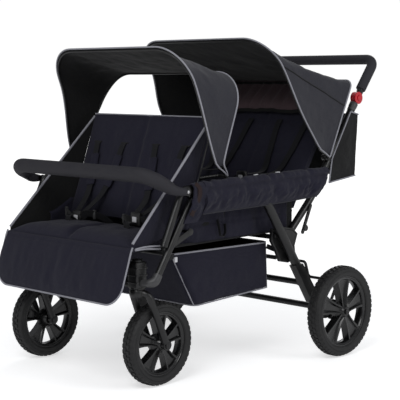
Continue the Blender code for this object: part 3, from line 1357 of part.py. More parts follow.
def build_bumper():
    pivot = bumper_pivot()
    front_x = BUMPER_X - BUMPER_SWEEP
    knee = (pivot[0] + BUMPER_KNEE[0], pivot[1] + BUMPER_KNEE[1])
    end = along(pivot, knee, -BUMPER_END)
    route = [side_point(end, BUMPER_X), side_point(knee, BUMPER_X),
             side_point(BUMPER_FRONT, front_x), side_point(BUMPER_FRONT, -front_x),
             side_point(knee, -BUMPER_X), side_point(end, -BUMPER_X)]
    bar = tube(rounded(route, BUMPER_CORNER_RADIUS, 6), BUMPER_RADIUS)
    holes = []
    reach = 2 * BUMPER_RADIUS
    for s in (1, -1):
        inner = LEG_X + RAIL_RADIUS + BUMPER_SHOULDER_LENGTH + GAP
        holes.append(box_between((s * (inner - reach), pivot[0] - BUMPER_FLAT, pivot[1] - reach),
                                 (s * inner, pivot[0] + reach, pivot[1] + reach)))
        holes.append(rod_x(s * (inner - BUMPER_RADIUS), s * (BUMPER_X - BUMPER_SHOULDER_LENGTH),
                           *pivot, BUMPER_PIN_RADIUS + BORE_CLEARANCE, 16))
    add_piece("bumper_bar", cut(bar, *holes), "bumper_bar", "foam")


def add_bodies():
    add_body("chassis", (0, 0, 0))
    for side, s in SIDES:
        add_body(f"{side}_swivel", (s * FRONT_WHEEL_X, SWIVEL_Y, 0), "chassis")
        add_body(f"{side}_front_wheel", (s * FRONT_WHEEL_X, *FRONT_AXLE), f"{side}_swivel")
        add_body(f"{side}_rear_wheel", (s * REAR_WHEEL_X, *REAR_AXLE), "chassis")
        add_body(f"{side}_brake_pin", (0, *brake_pin_place()), "chassis")
    add_body("brake_bar", (0, *REAR_AXLE), "chassis")
    add_body("push_frame", (0, *FOLD_PIVOT), "chassis")
    add_body("handle", (0, *HANDLE_PIVOT), "push_frame")
    add_body("rear_hoop", (0, *REAR_CANOPY_PIVOT), "push_frame")
    for side, s in SIDES:
        add_body(f"{side}_lock_lever", (0, *LEVER_PIVOT), "push_frame")
        add_body(f"{side}_handle_button", (0, *HANDLE_PIVOT), "handle")
    add_body("front_backrest", (0, *FRONT_CREASE), "chassis")
    add_body("front_hoop", (0, *FRONT_CANOPY_PIVOT), "front_backrest")
    add_body("rear_backrest", (0, *REAR_CREASE), "chassis")
    add_body("bumper_bar", (0, *bumper_pivot()), "chassis")


clear_scene()
add_bodies()
build_wheels()
build_swivels()
build_side_frames()
build_fold_joints()
build_rear_members()
build_push_frame()
build_front_canopy()
build_rear_canopy()
build_front_seats()
build_rear_seats()
build_side_wraps()
build_basket()
build_pocket()
build_bumper()
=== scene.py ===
"""Four-seat stroller: the finished pieces, their materials and the studio they stand in.

Metres, +Z up. The stroller faces -Y and its left side is +X. Side-view places are (y, z) pairs
measured from the floor under the rear axle; DATUM_Y moves them onto the frame.
"""

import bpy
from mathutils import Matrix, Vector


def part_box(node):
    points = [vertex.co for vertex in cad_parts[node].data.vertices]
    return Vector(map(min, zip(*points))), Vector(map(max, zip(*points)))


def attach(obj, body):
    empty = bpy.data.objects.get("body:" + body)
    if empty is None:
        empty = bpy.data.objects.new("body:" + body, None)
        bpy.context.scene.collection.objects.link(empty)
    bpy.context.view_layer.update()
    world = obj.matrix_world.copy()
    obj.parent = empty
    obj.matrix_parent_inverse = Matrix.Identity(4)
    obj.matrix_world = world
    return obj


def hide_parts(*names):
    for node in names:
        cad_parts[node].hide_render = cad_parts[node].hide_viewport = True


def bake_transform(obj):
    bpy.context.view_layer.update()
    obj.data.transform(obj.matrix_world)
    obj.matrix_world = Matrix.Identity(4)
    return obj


bl_info = {
    "name": "Four-seat stroller",
    "version": (1, 0, 0),
    "blender": (4, 5, 0),
    "location": "3D View > Sidebar > Stroller",
    "description": "Fabric, wheels, tubes and studio of a four-seat stroller",
    "category": "Object",
}

from math import atan2, cos, exp, hypot, pi, radians, sin, sqrt, tan

import bmesh
import bpy
from bpy.props import FloatProperty, FloatVectorProperty, PointerProperty
from bpy.types import Operator, Panel, PropertyGroup
from mathutils import Matrix, Vector, noise

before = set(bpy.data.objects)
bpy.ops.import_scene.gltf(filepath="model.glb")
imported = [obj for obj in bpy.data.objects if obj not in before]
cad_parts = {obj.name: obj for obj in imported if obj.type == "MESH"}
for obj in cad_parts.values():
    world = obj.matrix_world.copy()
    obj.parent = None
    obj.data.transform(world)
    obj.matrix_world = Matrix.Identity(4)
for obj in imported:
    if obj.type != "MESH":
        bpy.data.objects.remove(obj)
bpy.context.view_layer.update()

DATUM_Y = 0.2394
GAP = 0.0003
SIDES = (("left", 1), ("right", -1))

# Wheels, in the plane of each wheel
REAR_AXLE = (0.0, 0.150)
REAR_WHEEL_X = 0.4265
REAR_WHEEL_RADIUS = 0.150
REAR_TYRE_DEPTH = 0.034
FRONT_AXLE = (-0.683, 0.127)
FRONT_WHEEL_X = 0.2683
FRONT_WHEEL_RADIUS = 0.127
FRONT_TYRE_DEPTH = 0.031
TYRE_WIDTH = 0.050
RIM_WIDTH = 0.036
SPOKES = 5
HUB_HALF_LENGTH = 0.027
REAR_HUB_REACH = 0.0352
WHEEL_STEPS = 72

# Front swivels
SWIVEL_Y = -0.763
HOUSING_BOTTOM = 0.302
HOUSING_TOP = 0.388
FORK_ARM_X = 0.0385

# Side frame
LEG_X = 0.3255
LEG_RADIUS = 0.015
RAIL_RADIUS = 0.011
LEG_TOP = (-0.288, 0.566)
FRONT_LEG_TOP = (-0.590, 0.5655)
FRONT_LEG_BOTTOM = (-0.733, 0.346)
RAIL_FRONT_BOTTOM = (-0.7105, 0.425)
RAIL_CORNER = (-0.635, 0.588)
RAIL_REAR_END = (0.020, 0.600)
RAIL_CORNER_RADIUS = 0.030
GUSSET_OUTLINE = [
    (-0.210, 0.430), (-0.150, 0.432), (-0.104, 0.423), (-0.082, 0.404), (-0.097, 0.366),
    (-0.090, 0.322), (-0.130, 0.312), (-0.170, 0.320), (-0.190, 0.357), (-0.214, 0.392),
]
GUSSET_BOLTS = ((-0.188, 0.408), (-0.112, 0.332))

# Push frame
PUSH_X = 0.285
PUSH_RADIUS = 0.0125
FOLD_PIVOT = (-0.125, 0.378)
PUSH_BEND = (0.015, 0.513)
HANDLE_PIVOT = (0.262, 0.8465)
HANDLE_CORNER = (0.367, 0.981)
HANDLE_CORNER_RADIUS = 0.038
GRIP_RADIUS = 0.0175
GRIP_START = 0.036
LEVER_PIVOT = (-0.006, 0.4905)
LEVER_TOE = (-0.046, 0.405)

# Brake
BRAKE_EYE_X = 0.3764
BRAKE_BAR = (0.050, 0.237)
BRAKE_PEDAL = (0.046, 0.288)

# Bumper bar
BUMPER_X = 0.3465
BUMPER_RADIUS = 0.0225
BUMPER_FRONT = (-0.762, 0.636)
BUMPER_PIVOT = (-0.629, 0.582)
BUMPER_FLAT_X = 0.3408

# Seats
FRONT_CREASE = (-0.575, 0.455)
FRONT_BACK_TOP = (-0.455, 0.795)
REAR_CREASE = (-0.060, 0.475)
REAR_BACK_TOP = (0.198, 0.880)
FRONT_SEAT_HALF = 0.2976
SEAT_FRONT_Y = -0.805
SEAT_REAR_Y = -0.597
CALF_HEM = (-0.857, 0.265)
SEAT_BASE_Z = 0.4158

# Canopies
FRONT_CANOPY_PIVOT = (-0.430, 0.615)
REAR_CANOPY_PIVOT = (0.085, 0.648)


def srgb(red, green, blue):
    """Linear colour of a 0 to 255 display colour."""
    def one(value):
        share = value / 255
        return share / 12.92 if share <= 0.04045 else ((share + 0.055) / 1.055) ** 2.4
    return (one(red), one(green), one(blue))


def colour(name, default, text):
    return FloatVectorProperty(name=name, description=text, subtype="COLOR", size=3,
                               min=0.0, max=1.0, default=default)


class StrollerColours(PropertyGroup):
    """Colours of the stroller's finishes."""
    seat: colour("Seat fabric", srgb(28, 27, 42), "Cloth of the seats and the side panels")
    canopy: colour("Canopy fabric", srgb(49, 49, 56), "Outer cloth of both canopies")
    lining: colour("Lining", srgb(20, 20, 21), "Cloth inside the canopies and behind the seats")
    piping: colour("Piping", srgb(150, 150, 158), "Corded edge of the cloth")
    belt: colour("Belts", srgb(20, 20, 24), "Webbing of the harnesses")
    paint: colour("Frame paint", srgb(13, 13, 14), "Powder coat of the tubes")
    plastic: colour("Plastic", srgb(18, 18, 19), "Moulded housings and levers")
    casting: colour("Grey casting", srgb(62, 62, 64), "Castings above the front forks")
    rim: colour("Rims", srgb(14, 14, 15), "Moulded rims of the wheels")
    rubber: colour("Tyres", srgb(20, 20, 21), "Rubber of the tyres")
    foam: colour("Foam", srgb(33, 32, 39), "Foam of the handle and the bumper bar")
    red: colour("Red plastic", srgb(200, 30, 45), "Hinges and buttons of the handle")
    steel: colour("Steel", srgb(196, 197, 200), "Rivets, pins and bolt heads")
    # White of the clips and buckle buttons, also used for painted highlights on the buckles and the
    # side wraps.
    trim: colour("White trim", srgb(214, 214, 218), "Slides and clips of the belts")
    valance: colour("Valance", srgb(84, 68, 72), "Gathered cloth inside the rear canopy")
    inner: colour("Basket lining", srgb(40, 26, 26), "Inside of the basket")
    floor: colour("Floor", srgb(244, 244, 245), "Studio floor and backdrop")


def length(name, default, text):
    return FloatProperty(name=name, description=text, unit="LENGTH", min=0.0, default=default)


class StrollerSizes(PropertyGroup):
    """Sizes of the trim, which may change without touching the frame."""
    piping_radius: length("Piping radius", 0.0026, "Half the width of the corded edges")
    belt_width: length("Belt width", 0.024, "Width of the harness webbing")
    belt_thickness: length("Belt thickness", 0.0016, "Thickness of the harness webbing")
    cloth_thickness: length("Cloth thickness", 0.0016, "Thickness of the sheets of cloth")
    tread_depth: length("Tread depth", 0.0026, "Height of the tyres' tread blocks")
    weave_pitch: length("Weave pitch", 0.0011, "Distance between the threads of the cloth")


# Shader groups and materials

def new_group(name, inputs):
    """A shader group with named inputs, which puts out a colour, a height and a roughness."""
    group = bpy.data.node_groups.new(name, "ShaderNodeTree")
    for label, kind, value in inputs:
        socket = group.interface.new_socket(label, in_out="INPUT", socket_type=kind)
        socket.default_value = value
    for label, kind in (("Color", "NodeSocketColor"), ("Height", "NodeSocketFloat"),
                        ("Roughness", "NodeSocketFloat")):
        group.interface.new_socket(label, in_out="OUTPUT", socket_type=kind)
    return group, group.nodes.new("NodeGroupInput"), group.nodes.new("NodeGroupOutput")


def add_node(tree, kind, links=None, **settings):
    """A shader node with its settings; links maps an input to a socket or a value."""
    node = tree.nodes.new(kind)
    for key, value in settings.items():
        setattr(node, key, value)
    for key, value in (links or {}).items():
        if isinstance(value, bpy.types.NodeSocket):
            tree.links.new(value, node.inputs[key])
        else:
            node.inputs[key].default_value = value
    return node


def ramp(tree, source, low, high):
    """Smooth step of a value between two limits."""
    node = add_node(tree, "ShaderNodeMapRange", {
        "Value": source, "From Min": low, "From Max": high, "To Min": 0.0, "To Max": 1.0,
    }, interpolation_type="SMOOTHSTEP")
    return node.outputs["Result"]


def maths(tree, operation, a, b):
    return add_node(tree, "ShaderNodeMath", {0: a, 1: b}, operation=operation).outputs[0]


def mixed(tree, share, a, b):
    node = add_node(tree, "ShaderNodeMix", data_type="RGBA")
    for index, value in ((0, share), (6, a), (7, b)):
        if isinstance(value, bpy.types.NodeSocket):
            tree.links.new(value, node.inputs[index])
        else:
            node.inputs[index].default_value = value
    return node.outputs[2]


def cloth_group():
    """Woven cloth: threads, a heathered colour, painted shade between the threads and the small
    creases of a sewn cover.
    """
    name = "woven cloth"
    if name in bpy.data.node_groups:
        return bpy.data.node_groups[name]
    group, entry, leave = new_group(name, [
        ("Color", "NodeSocketColor", (0.5, 0.5, 0.5, 1.0)), ("Pitch", "NodeSocketFloat", 0.0011),
        ("Heather", "NodeSocketFloat", 0.25), ("Creases", "NodeSocketFloat", 0.5),
    ])
    place = add_node(group, "ShaderNodeTexCoord").outputs["Object"]
    count = maths(group, "DIVIDE", 1.0, entry.outputs["Pitch"])
    threads = add_node(group, "ShaderNodeTexVoronoi", {
        "Vector": place, "Scale": count, "Randomness": 0.25}, distance="CHEBYCHEV")
    fleck = add_node(group, "ShaderNodeTexNoise", {
        "Vector": place, "Scale": maths(group, "MULTIPLY", count, 0.35), "Detail": 2.0})
    cloud = add_node(group, "ShaderNodeTexNoise", {
        "Vector": place, "Scale": 9.0, "Detail": 4.0, "Roughness": 0.6})
    crease = add_node(group, "ShaderNodeTexNoise", {
        "Vector": place, "Scale": 26.0, "Detail": 3.0, "Roughness": 0.55, "Distortion": 0.7})
    shade = maths(group, "ADD", maths(group, "MULTIPLY", fleck.outputs[0], 0.6),
                  maths(group, "MULTIPLY", cloud.outputs[0], 0.4))
    share = maths(group, "MULTIPLY", ramp(group, shade, 0.36, 0.64), entry.outputs["Heather"])
    light = add_node(group, "ShaderNodeHueSaturation", {
        "Color": entry.outputs["Color"], "Value": 1.6, "Saturation": 0.9})
    pit_shade_colour = add_node(group, "ShaderNodeHueSaturation", {
        "Color": entry.outputs["Color"], "Value": 0.55})
    tone = mixed(group, share, entry.outputs["Color"], light.outputs[0])
    # The low places between the threads are darker: painted shade in the weave.
    pit_shade = maths(group, "MULTIPLY", ramp(group, threads.outputs["Distance"], 0.25, 0.60), 0.45)
    group.links.new(mixed(group, pit_shade, tone, pit_shade_colour.outputs[0]), leave.inputs["Color"])
    weave = maths(group, "MULTIPLY", maths(group, "SUBTRACT", 0.7, threads.outputs["Distance"]),
                  maths(group, "MULTIPLY", entry.outputs["Pitch"], 0.35))
    folds = maths(group, "MULTIPLY", maths(group, "MULTIPLY", crease.outputs[0],
                                           entry.outputs["Creases"]), 0.0040)
    group.links.new(maths(group, "ADD", weave, folds), leave.inputs["Height"])
    rough = maths(group, "ADD", 0.78, maths(group, "MULTIPLY", cloud.outputs[0], 0.18))
    group.links.new(rough, leave.inputs["Roughness"])
    return group


def grain_group():
    """Moulded or painted skin: fine grain, handling marks and a little dust in the low places."""
    name = "moulded skin"
    if name in bpy.data.node_groups:
        return bpy.data.node_groups[name]
    group, entry, leave = new_group(name, [
        ("Color", "NodeSocketColor", (0.5, 0.5, 0.5, 1.0)),
        ("Dust", "NodeSocketColor", (0.5, 0.5, 0.5, 1.0)),
        ("Grain", "NodeSocketFloat", 900.0), ("Depth", "NodeSocketFloat", 0.0001),
        ("Gloss", "NodeSocketFloat", 0.4), ("Marks", "NodeSocketFloat", 0.1),
    ])
    place = add_node(group, "ShaderNodeTexCoord").outputs["Object"]
    grain = add_node(group, "ShaderNodeTexNoise", {
        "Vector": place, "Scale": entry.outputs["Grain"], "Detail": 2.0})
    marks = add_node(group, "ShaderNodeTexNoise", {
        "Vector": place, "Scale": 34.0, "Detail": 5.0, "Roughness": 0.65})
    film = ramp(group, marks.outputs[0], 0.42, 0.72)
    share = maths(group, "MULTIPLY", film, entry.outputs["Marks"])
    group.links.new(mixed(group, share, entry.outputs["Color"], entry.outputs["Dust"]),
                    leave.inputs["Color"])
    group.links.new(maths(group, "MULTIPLY", grain.outputs[0], entry.outputs["Depth"]),
                    leave.inputs["Height"])
    rough = maths(group, "ADD", entry.outputs["Gloss"], maths(group, "MULTIPLY", film, 0.12))
    group.links.new(rough, leave.inputs["Roughness"])
    return group


def start_material(name):
    """(material, tree, shader) of a new material."""
    material = bpy.data.materials.new(name)
    material.use_nodes = True
    return material, material.node_tree, material.node_tree.nodes["Principled BSDF"]


def finished(name, group, tint, strength, values, settings):
    """A material whose colour, roughness and height come from a shader group."""
    material, tree, shader = start_material(name)
    base = (*getattr(bpy.context.scene.stroller_colours, tint), 1.0)
    node = add_node(tree, "ShaderNodeGroup", {"Color": base, **values}, node_tree=group)
    tree.links.new(node.outputs["Color"], shader.inputs["Base Color"])
    tree.links.new(node.outputs["Roughness"], shader.inputs["Roughness"])
    bump = add_node(tree, "ShaderNodeBump", {
        "Height": node.outputs["Height"], "Distance": 1.0, "Strength": strength})
    tree.links.new(bump.outputs["Normal"], shader.inputs["Normal"])
    for key, value in settings.items():
        shader.inputs[key].default_value = value
    return material


def cloth(name, tint, heather=0.25, creases=0.5, sheen=0.08, pitch=1.0):
    """Woven cloth; pitch is its threads' distance against the usual one."""
    values = {"Pitch": bpy.context.scene.stroller_sizes.weave_pitch * pitch,
              "Heather": heather, "Creases": creases}
    return finished(name, cloth_group(), tint, 0.8, values, {
        "Specular IOR Level": 0.25, "Sheen Weight": sheen, "Sheen Roughness": 0.5})


def skin(name, tint, gloss, grain=900.0, depth=0.00008, marks=0.10, metallic=0.0, coat=0.0):
    """Moulded, painted or metal finish with its grain and handling marks."""
    values = {"Dust": DUST, "Grain": grain, "Depth": depth, "Gloss": gloss, "Marks": marks}
    return finished(name, grain_group(), tint, 0.7, values, {
        "Metallic": metallic, "Coat Weight": coat, "Coat Roughness": 0.12})


DUST = (0.16, 0.155, 0.15, 1.0)
# Each finish: its maker, colour, material slot, sharp angle in degrees, and settings
FINISHES = {
    "seat cloth": (cloth, "seat", "seat_fabric", 60, {"heather": 0.30}),
    "canopy cloth": (cloth, "canopy", "seat_fabric", 60, {"heather": 0.35, "creases": 0.8}),
    "lining cloth": (cloth, "lining", "seat_fabric", 60, {"heather": 0.15, "creases": 0.8}),
    "pocket cloth": (cloth, "lining", "seat_fabric", 60, {"heather": 0.25, "creases": 0.6}),
    "valance cloth": (cloth, "valance", "seat_fabric", 60, {"heather": 0.20, "creases": 0.8}),
    "basket lining": (cloth, "inner", "seat_fabric", 60, {"heather": 0.10, "creases": 0.5}),
    "piping": (cloth, "piping", "seat_fabric", 60,
               {"heather": 0.10, "creases": 0.1, "pitch": 0.8}),
    "webbing": (cloth, "belt", "seat_fabric", 60,
                {"heather": 0.10, "creases": 0.1, "sheen": 0.1, "pitch": 1.6}),
    "frame paint": (skin, "paint", "frame_tube", 45,
                    {"gloss": 0.36, "grain": 1400.0, "depth": 0.00004, "marks": 0.02,
                     "coat": 0.08}),
    "black plastic": (skin, "plastic", "plastic", 35,
                      {"gloss": 0.36, "grain": 1800.0, "depth": 0.00006}),
    "rim plastic": (skin, "rim", "rim_plastic", 32,
                    {"gloss": 0.24, "grain": 700.0, "depth": 0.00003, "marks": 0.02,
                     "coat": 0.2}),
    "grey casting": (skin, "casting", "plastic", 35,
                     {"gloss": 0.42, "grain": 1100.0, "depth": 0.00010}),
    "tyre rubber": (skin, "rubber", "tyre", 30,
                    {"gloss": 0.58, "grain": 1500.0, "depth": 0.00012, "marks": 0.07}),
    "foam sleeve": (skin, "foam", "foam", 50,
                    {"gloss": 0.74, "grain": 650.0, "depth": 0.00030, "marks": 0.06}),
    "red plastic": (skin, "red", "red_plastic", 35, {"gloss": 0.30, "marks": 0.05, "coat": 0.3}),
    "steel": (skin, "steel", "steel", 35,
              {"gloss": 0.26, "grain": 2600.0, "depth": 0.00003, "marks": 0.12,
               "metallic": 1.0}),
    # White plastic of the basket clips and buckle buttons; the same white also paints highlights:
    # the glints on the buckles and on the side wraps.
    "white plastic": (skin, "trim", "plastic", 35, {"gloss": 0.38, "marks": 0.05}),
}


def material_of(look):
    """The material of a finish, made once."""
    make, tint, _, _, settings = FINISHES[look]
    return bpy.data.materials.get(look) or make(look, tint, **settings)


# Shapes

def at(x, place):
    """Point in the frame of a side-view place."""
    return Vector((x, place[0] + DATUM_Y, place[1]))


def between(a, b, share):
    """Side-view place on the straight line from a to b."""
    return a[0] + (b[0] - a[0]) * share, a[1] + (b[1] - a[1]) * share


def along(start, end, distance):
    """The side-view point at a distance from start towards end."""
    share = distance / hypot(end[0] - start[0], end[1] - start[1])
    return between(start, end, share)


def behind(crease, top, reach, offset):
    """Side-view point at a reach up a leaning back and an offset behind it."""
    lean = atan2(top[1] - crease[1], top[0] - crease[0])
    return (crease[0] + reach * cos(lean) + offset * sin(lean),
            crease[1] + reach * sin(lean) - offset * cos(lean))


def rounded(points, radius, steps=8):
    """The path through the points, with its inner corners turned at the radius."""
    points = [Vector(p) for p in points]
    path = [points[0]]
    for before, corner, after in zip(points, points[1:], points[2:]):
        back = (before - corner).normalized()
        ahead = (after - corner).normalized()
        half = back.angle(ahead) / 2
        if half > radians(89):
            path.append(corner)
            continue
        room = 0.48 * min((before - corner).length, (after - corner).length)
        reach = min(radius / tan(half), room)
        turn = reach * tan(half)
        centre = corner + (back + ahead).normalized() * (turn / sin(half))
        first = corner + back * reach - centre
        last = corner + ahead * reach - centre
        for i in range(steps + 1):
            arm = first.slerp(last, i / steps) if first.angle(last) > 1e-4 else first
            path.append(centre + arm.normalized() * turn)
    path.append(points[-1])
    return path


def bar(path, radius, sides=6, radii=None, closed=False):
    """Mesh of a round bar along a path, capped at both ends; radii scales it along the way."""
    curve = bpy.data.curves.new("path", "CURVE")
    curve.dimensions = "3D"
    curve.bevel_depth = radius
    curve.bevel_resolution = sides
    curve.use_fill_caps = True
    spline = curve.splines.new("POLY")
    spline.points.add(len(path) - 1)
    for index, (point, place) in enumerate(zip(spline.points, path)):
        point.co = (*place, 1.0)
        if radii:
            point.radius = radii[index]
    spline.use_cyclic_u = closed
    holder = bpy.data.objects.new("path", curve)
    bpy.context.scene.collection.objects.link(holder)
    mesh = bpy.data.meshes.new_from_object(holder)
    bpy.data.objects.remove(holder)
    bpy.data.curves.remove(curve)
    bm = bmesh.new()
    bm.from_mesh(mesh)
    bpy.data.meshes.remove(mesh)
    return closed_up(bm)


def closed_up(bm):
    """The mesh of a bmesh, welded and with its faces pointing out."""
    bmesh.ops.remove_doubles(bm, verts=bm.verts, dist=1e-6)
    bmesh.ops.recalc_face_normals(bm, faces=bm.faces)
    return as_mesh(bm)


def spun(points, axis, centre, steps, ring=False):
    """A solid turned about an axis through the centre; ring joins its profile's two ends."""
    bm = bmesh.new()
    verts = [bm.verts.new(point) for point in points]
    pairs = list(zip(verts, verts[1:]))
    if ring:
        pairs.append((verts[-1], verts[0]))
    edges = [bm.edges.new(pair) for pair in pairs]
    bmesh.ops.spin(bm, geom=verts + edges, cent=(0, 0, 0), axis=axis,
                   angle=2 * pi, steps=steps, use_merge=True)
    bmesh.ops.translate(bm, verts=bm.verts, vec=centre)
    return closed_up(bm)


def spun_x(profile, place, x=0.0, steps=WHEEL_STEPS, ring=True):
    """A solid turned about a line along X, from (x, radius) pairs."""
    points = [(px, 0.0, radius) for px, radius in profile]
    return spun(points, (1, 0, 0), at(x, place), steps, ring)


def spun_z(profile, centre, steps=40):
    """A solid turned about an upright line, from (radius, z) pairs."""
    return spun([(radius, 0.0, z) for radius, z in profile], (0, 0, 1), centre, steps)


def softened(bm, width, segments=2, angle=30):
    """Bevels every edge of a bmesh that is sharper than the angle."""
    edges = [e for e in bm.edges if len(e.link_faces) == 2
             and e.calc_face_angle() > radians(angle)]
    bmesh.ops.bevel(bm, geom=edges, offset=width, offset_type="OFFSET", affect="EDGES",
                    segments=segments, profile=0.5, material=-1, clamp_overlap=True)
    return bm


def block(low, high, width=0.002, segments=2):
    """A box with rounded edges."""
    bm = bmesh.new()
    bmesh.ops.create_cube(bm, size=1)
    low, high = Vector(low), Vector(high)
    bmesh.ops.scale(bm, verts=bm.verts, vec=high - low)
    bmesh.ops.translate(bm, verts=bm.verts, vec=(low + high) / 2)
    return closed_up(softened(bm, width, segments))


def plate(outline, x0, x1, width=0.0015, recess=None):
    """A flat plate with a side-view outline; recess is (margin, depth) of a sunk middle."""
    bm = bmesh.new()
    face = bm.faces.new([bm.verts.new(at(x0, p)) for p in outline])
    grown = bmesh.ops.extrude_face_region(bm, geom=[face], use_keep_orig=True)
    moved = [v for v in grown["geom"] if isinstance(v, bmesh.types.BMVert)]
    bmesh.ops.translate(bm, verts=moved, vec=(x1 - x0, 0, 0))
    bmesh.ops.recalc_face_normals(bm, faces=bm.faces)
    if recess:
        for sign in (1, -1):
            flat = [f for f in bm.faces if f.normal.x * sign > 0.9]
            bmesh.ops.inset_region(bm, faces=flat, thickness=recess[0], depth=0.0)
            sunk = [f for f in flat if f.is_valid]
            bmesh.ops.inset_region(bm, faces=sunk, thickness=recess[1] * 0.6, depth=-recess[1])
    return closed_up(softened(bm, width))


def disc(x0, x1, place, radius, edge=0.001, steps=40):
    """A round boss along X with softened rims."""
    low, high = sorted((x0, x1))
    return spun_x([(low, 0.0), (low, radius - edge), (low + edge, radius),
                   (high - edge, radius), (high, radius - edge), (high, 0.0)],
                  place, steps=steps, ring=False)


def moulded(cuts, rule):
    """A unit block cut into a grid and shaped: rule takes (u, v, w), each from -0.5 to 0.5."""
    bm = bmesh.new()
    bmesh.ops.create_cube(bm, size=1)
    for axis, count in enumerate(cuts):
        if count:
            whole = [e for e in bm.edges
                     if abs(e.verts[0].co[axis] - e.verts[1].co[axis]) > 0.99]
            bmesh.ops.subdivide_edges(bm, edges=whole, cuts=count, use_grid_fill=True)
    for vert in bm.verts:
        vert.co = rule(*vert.co)
    return closed_up(bm)


def as_mesh(bm):
    """A mesh of a bmesh as it is."""
    mesh = bpy.data.meshes.new("shape")
    bm.to_mesh(mesh)
    bm.free()
    return mesh


def spread(nu, nv, rule):
    """A sheet shaped from a grid: rule takes (u, v), each from 0 to 1."""
    bm = bmesh.new()
    bmesh.ops.create_grid(bm, x_segments=nu, y_segments=nv, size=0.5)
    for vert in bm.verts:
        vert.co = rule(vert.co.x + 0.5, vert.co.y + 0.5)
    return as_mesh(bm)


def joined(*meshes):
    """One mesh of several shells."""
    bm = bmesh.new()
    for mesh in meshes:
        bm.from_mesh(mesh)
        bpy.data.meshes.remove(mesh)
    return as_mesh(bm)


def both_halves(half):
    """A path whose second half mirrors the first."""
    return half + [Vector((-p.x, p.y, p.z)) for p in reversed(half)]


def copied(node, width=0.0008, segments=2):
    """A CAD node's shape, welded, cleared of its triangles and with softened edges."""
    bm = bmesh.new()
    bm.from_mesh(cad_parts[node].data)
    bmesh.ops.remove_doubles(bm, verts=bm.verts, dist=1e-5)
    bmesh.ops.dissolve_limit(bm, angle_limit=radians(1), verts=bm.verts, edges=bm.edges)
    return closed_up(softened(bm, width, segments, 32))


def add_piece(name, mesh, look, body="chassis", node=None, smooth=None, thick=None,
              inside=None):
    """A finished piece that rides a body and stands for a CAD node.

    thick gives a sheet its thickness, and inside the finish of its other face.
    """
    _, _, usual_slot, usual_angle, _ = FINISHES[look]
    mesh.name = name
    mesh.materials.clear()
    mesh.materials.append(material_of(look))
    mesh.shade_smooth()
    mesh.set_sharp_from_angle(angle=radians(smooth or usual_angle))
    piece = bpy.data.objects.new(name, mesh)
    bpy.context.scene.collection.objects.link(piece)
    if thick:
        wall = piece.modifiers.new("wall", "SOLIDIFY")
        wall.thickness = thick
        wall.offset = -1.0
        wall.use_even_offset = False
        if inside:
            mesh.materials.append(material_of(inside))
            wall.material_offset = 1
    if body:
        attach(piece, body)
    if node:
        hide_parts(node)
    return piece


def smoothed(piece, levels=1):
    """A subdivision surface over a piece."""
    sub = piece.modifiers.new("smooth", "SUBSURF")
    sub.levels = levels
    sub.render_levels = levels


def stuffed(name, mesh, body="chassis", node=None, look="seat cloth", smooth=None):
    """A cushion, pad or foam sleeve."""
    add_piece(name, mesh, look, body, node, smooth=smooth)


def corded(name, path, radius=None, look="piping", body="chassis", closed=False):
    """Corded edge or seam along a path."""
    radius = radius or bpy.context.scene.stroller_sizes.piping_radius
    mesh = bar(path, radius, 2, closed=closed)
    return add_piece(name, mesh, look, body, smooth=80)


def strap(name, path, body="chassis", width=None, thick=None, across=(1, 0, 0)):
    """Webbing along a path, by default as wide and thick as the harnesses'."""
    sizes = bpy.context.scene.stroller_sizes
    mesh = belt(path, width or sizes.belt_width, thick or sizes.belt_thickness, across=across)
    return add_piece(name, mesh, "webbing", body)


# Wheels

def smooth_step(low, high, value):
    share = min(1.0, max(0.0, (value - low) / (high - low)))
    return share * share * (3 - 2 * share)


def tread(x, axle, radius, depth, count):
    """Blocks round a tyre: two rows on the crown and one on each shoulder."""
    bm = bmesh.new()
    pitch = 2 * pi / count
    rows = ((-0.0062, 0.0098, 0.0, 0.0, 0.0), (0.0062, 0.0098, 0.5, 0.0, 0.0),
            (-0.0188, 0.0100, 0.5, 0.0047, 32.0), (0.0188, 0.0100, 0.0, 0.0047, -32.0))
    for row_x, width, shift, drop, tilt in rows:
        made = bmesh.ops.create_cube(bm, size=1)
        verts = made["verts"]
        size = Vector((width, pitch * radius * 0.62, depth * 2))
        bmesh.ops.scale(bm, verts=verts, vec=size)
        edges = {e for v in verts for e in v.link_edges}
        grown = bmesh.ops.bevel(bm, geom=list(edges), offset=0.0006, offset_type="OFFSET",
                                affect="EDGES", segments=1, profile=0.5, material=-1)
        verts = grown["verts"]
        bmesh.ops.rotate(bm, verts=verts, cent=(0, 0, 0),
                         matrix=Matrix.Rotation(radians(-tilt), 3, "Y"))
        bmesh.ops.translate(bm, verts=verts, vec=(row_x, 0, radius - drop - depth))
        bmesh.ops.rotate(bm, verts=verts, cent=(0, 0, 0),
                         matrix=Matrix.Rotation(shift * pitch, 3, "X"))
        faces = {f for v in verts for f in v.link_faces}
        edges = {e for v in verts for e in v.link_edges}
        bmesh.ops.spin(bm, geom=list(verts) + list(edges) + list(faces), cent=(0, 0, 0),
                       axis=(1, 0, 0), angle=pitch * (count - 1), steps=count - 1,
                       use_duplicate=True)
    bmesh.ops.translate(bm, verts=bm.verts, vec=at(x, axle))
    return closed_up(bm)


def tyre(x, axle, radius, depth, block):
    half = TYRE_WIDTH / 2
    inner = radius - depth
    crown = radius - block
    side = [(0.78, inner + GAP), (0.93, inner + 0.12 * depth), (1.00, inner + 0.36 * depth),
            (0.985, inner + 0.44 * depth), (0.945, inner + 0.465 * depth),
            (0.945, inner + 0.50 * depth), (0.985, inner + 0.53 * depth),
            (0.94, crown - 0.20 * depth), (0.80, crown - 0.10 * depth),
            (0.55, crown - 0.03 * depth), (0.25, crown), (0.0, crown)]
    profile = [(-share * half, r) for share, r in side]
    profile += [(share * half, r) for share, r in reversed(side[:-1])]
    return spun_x(profile, axle, x, steps=96)


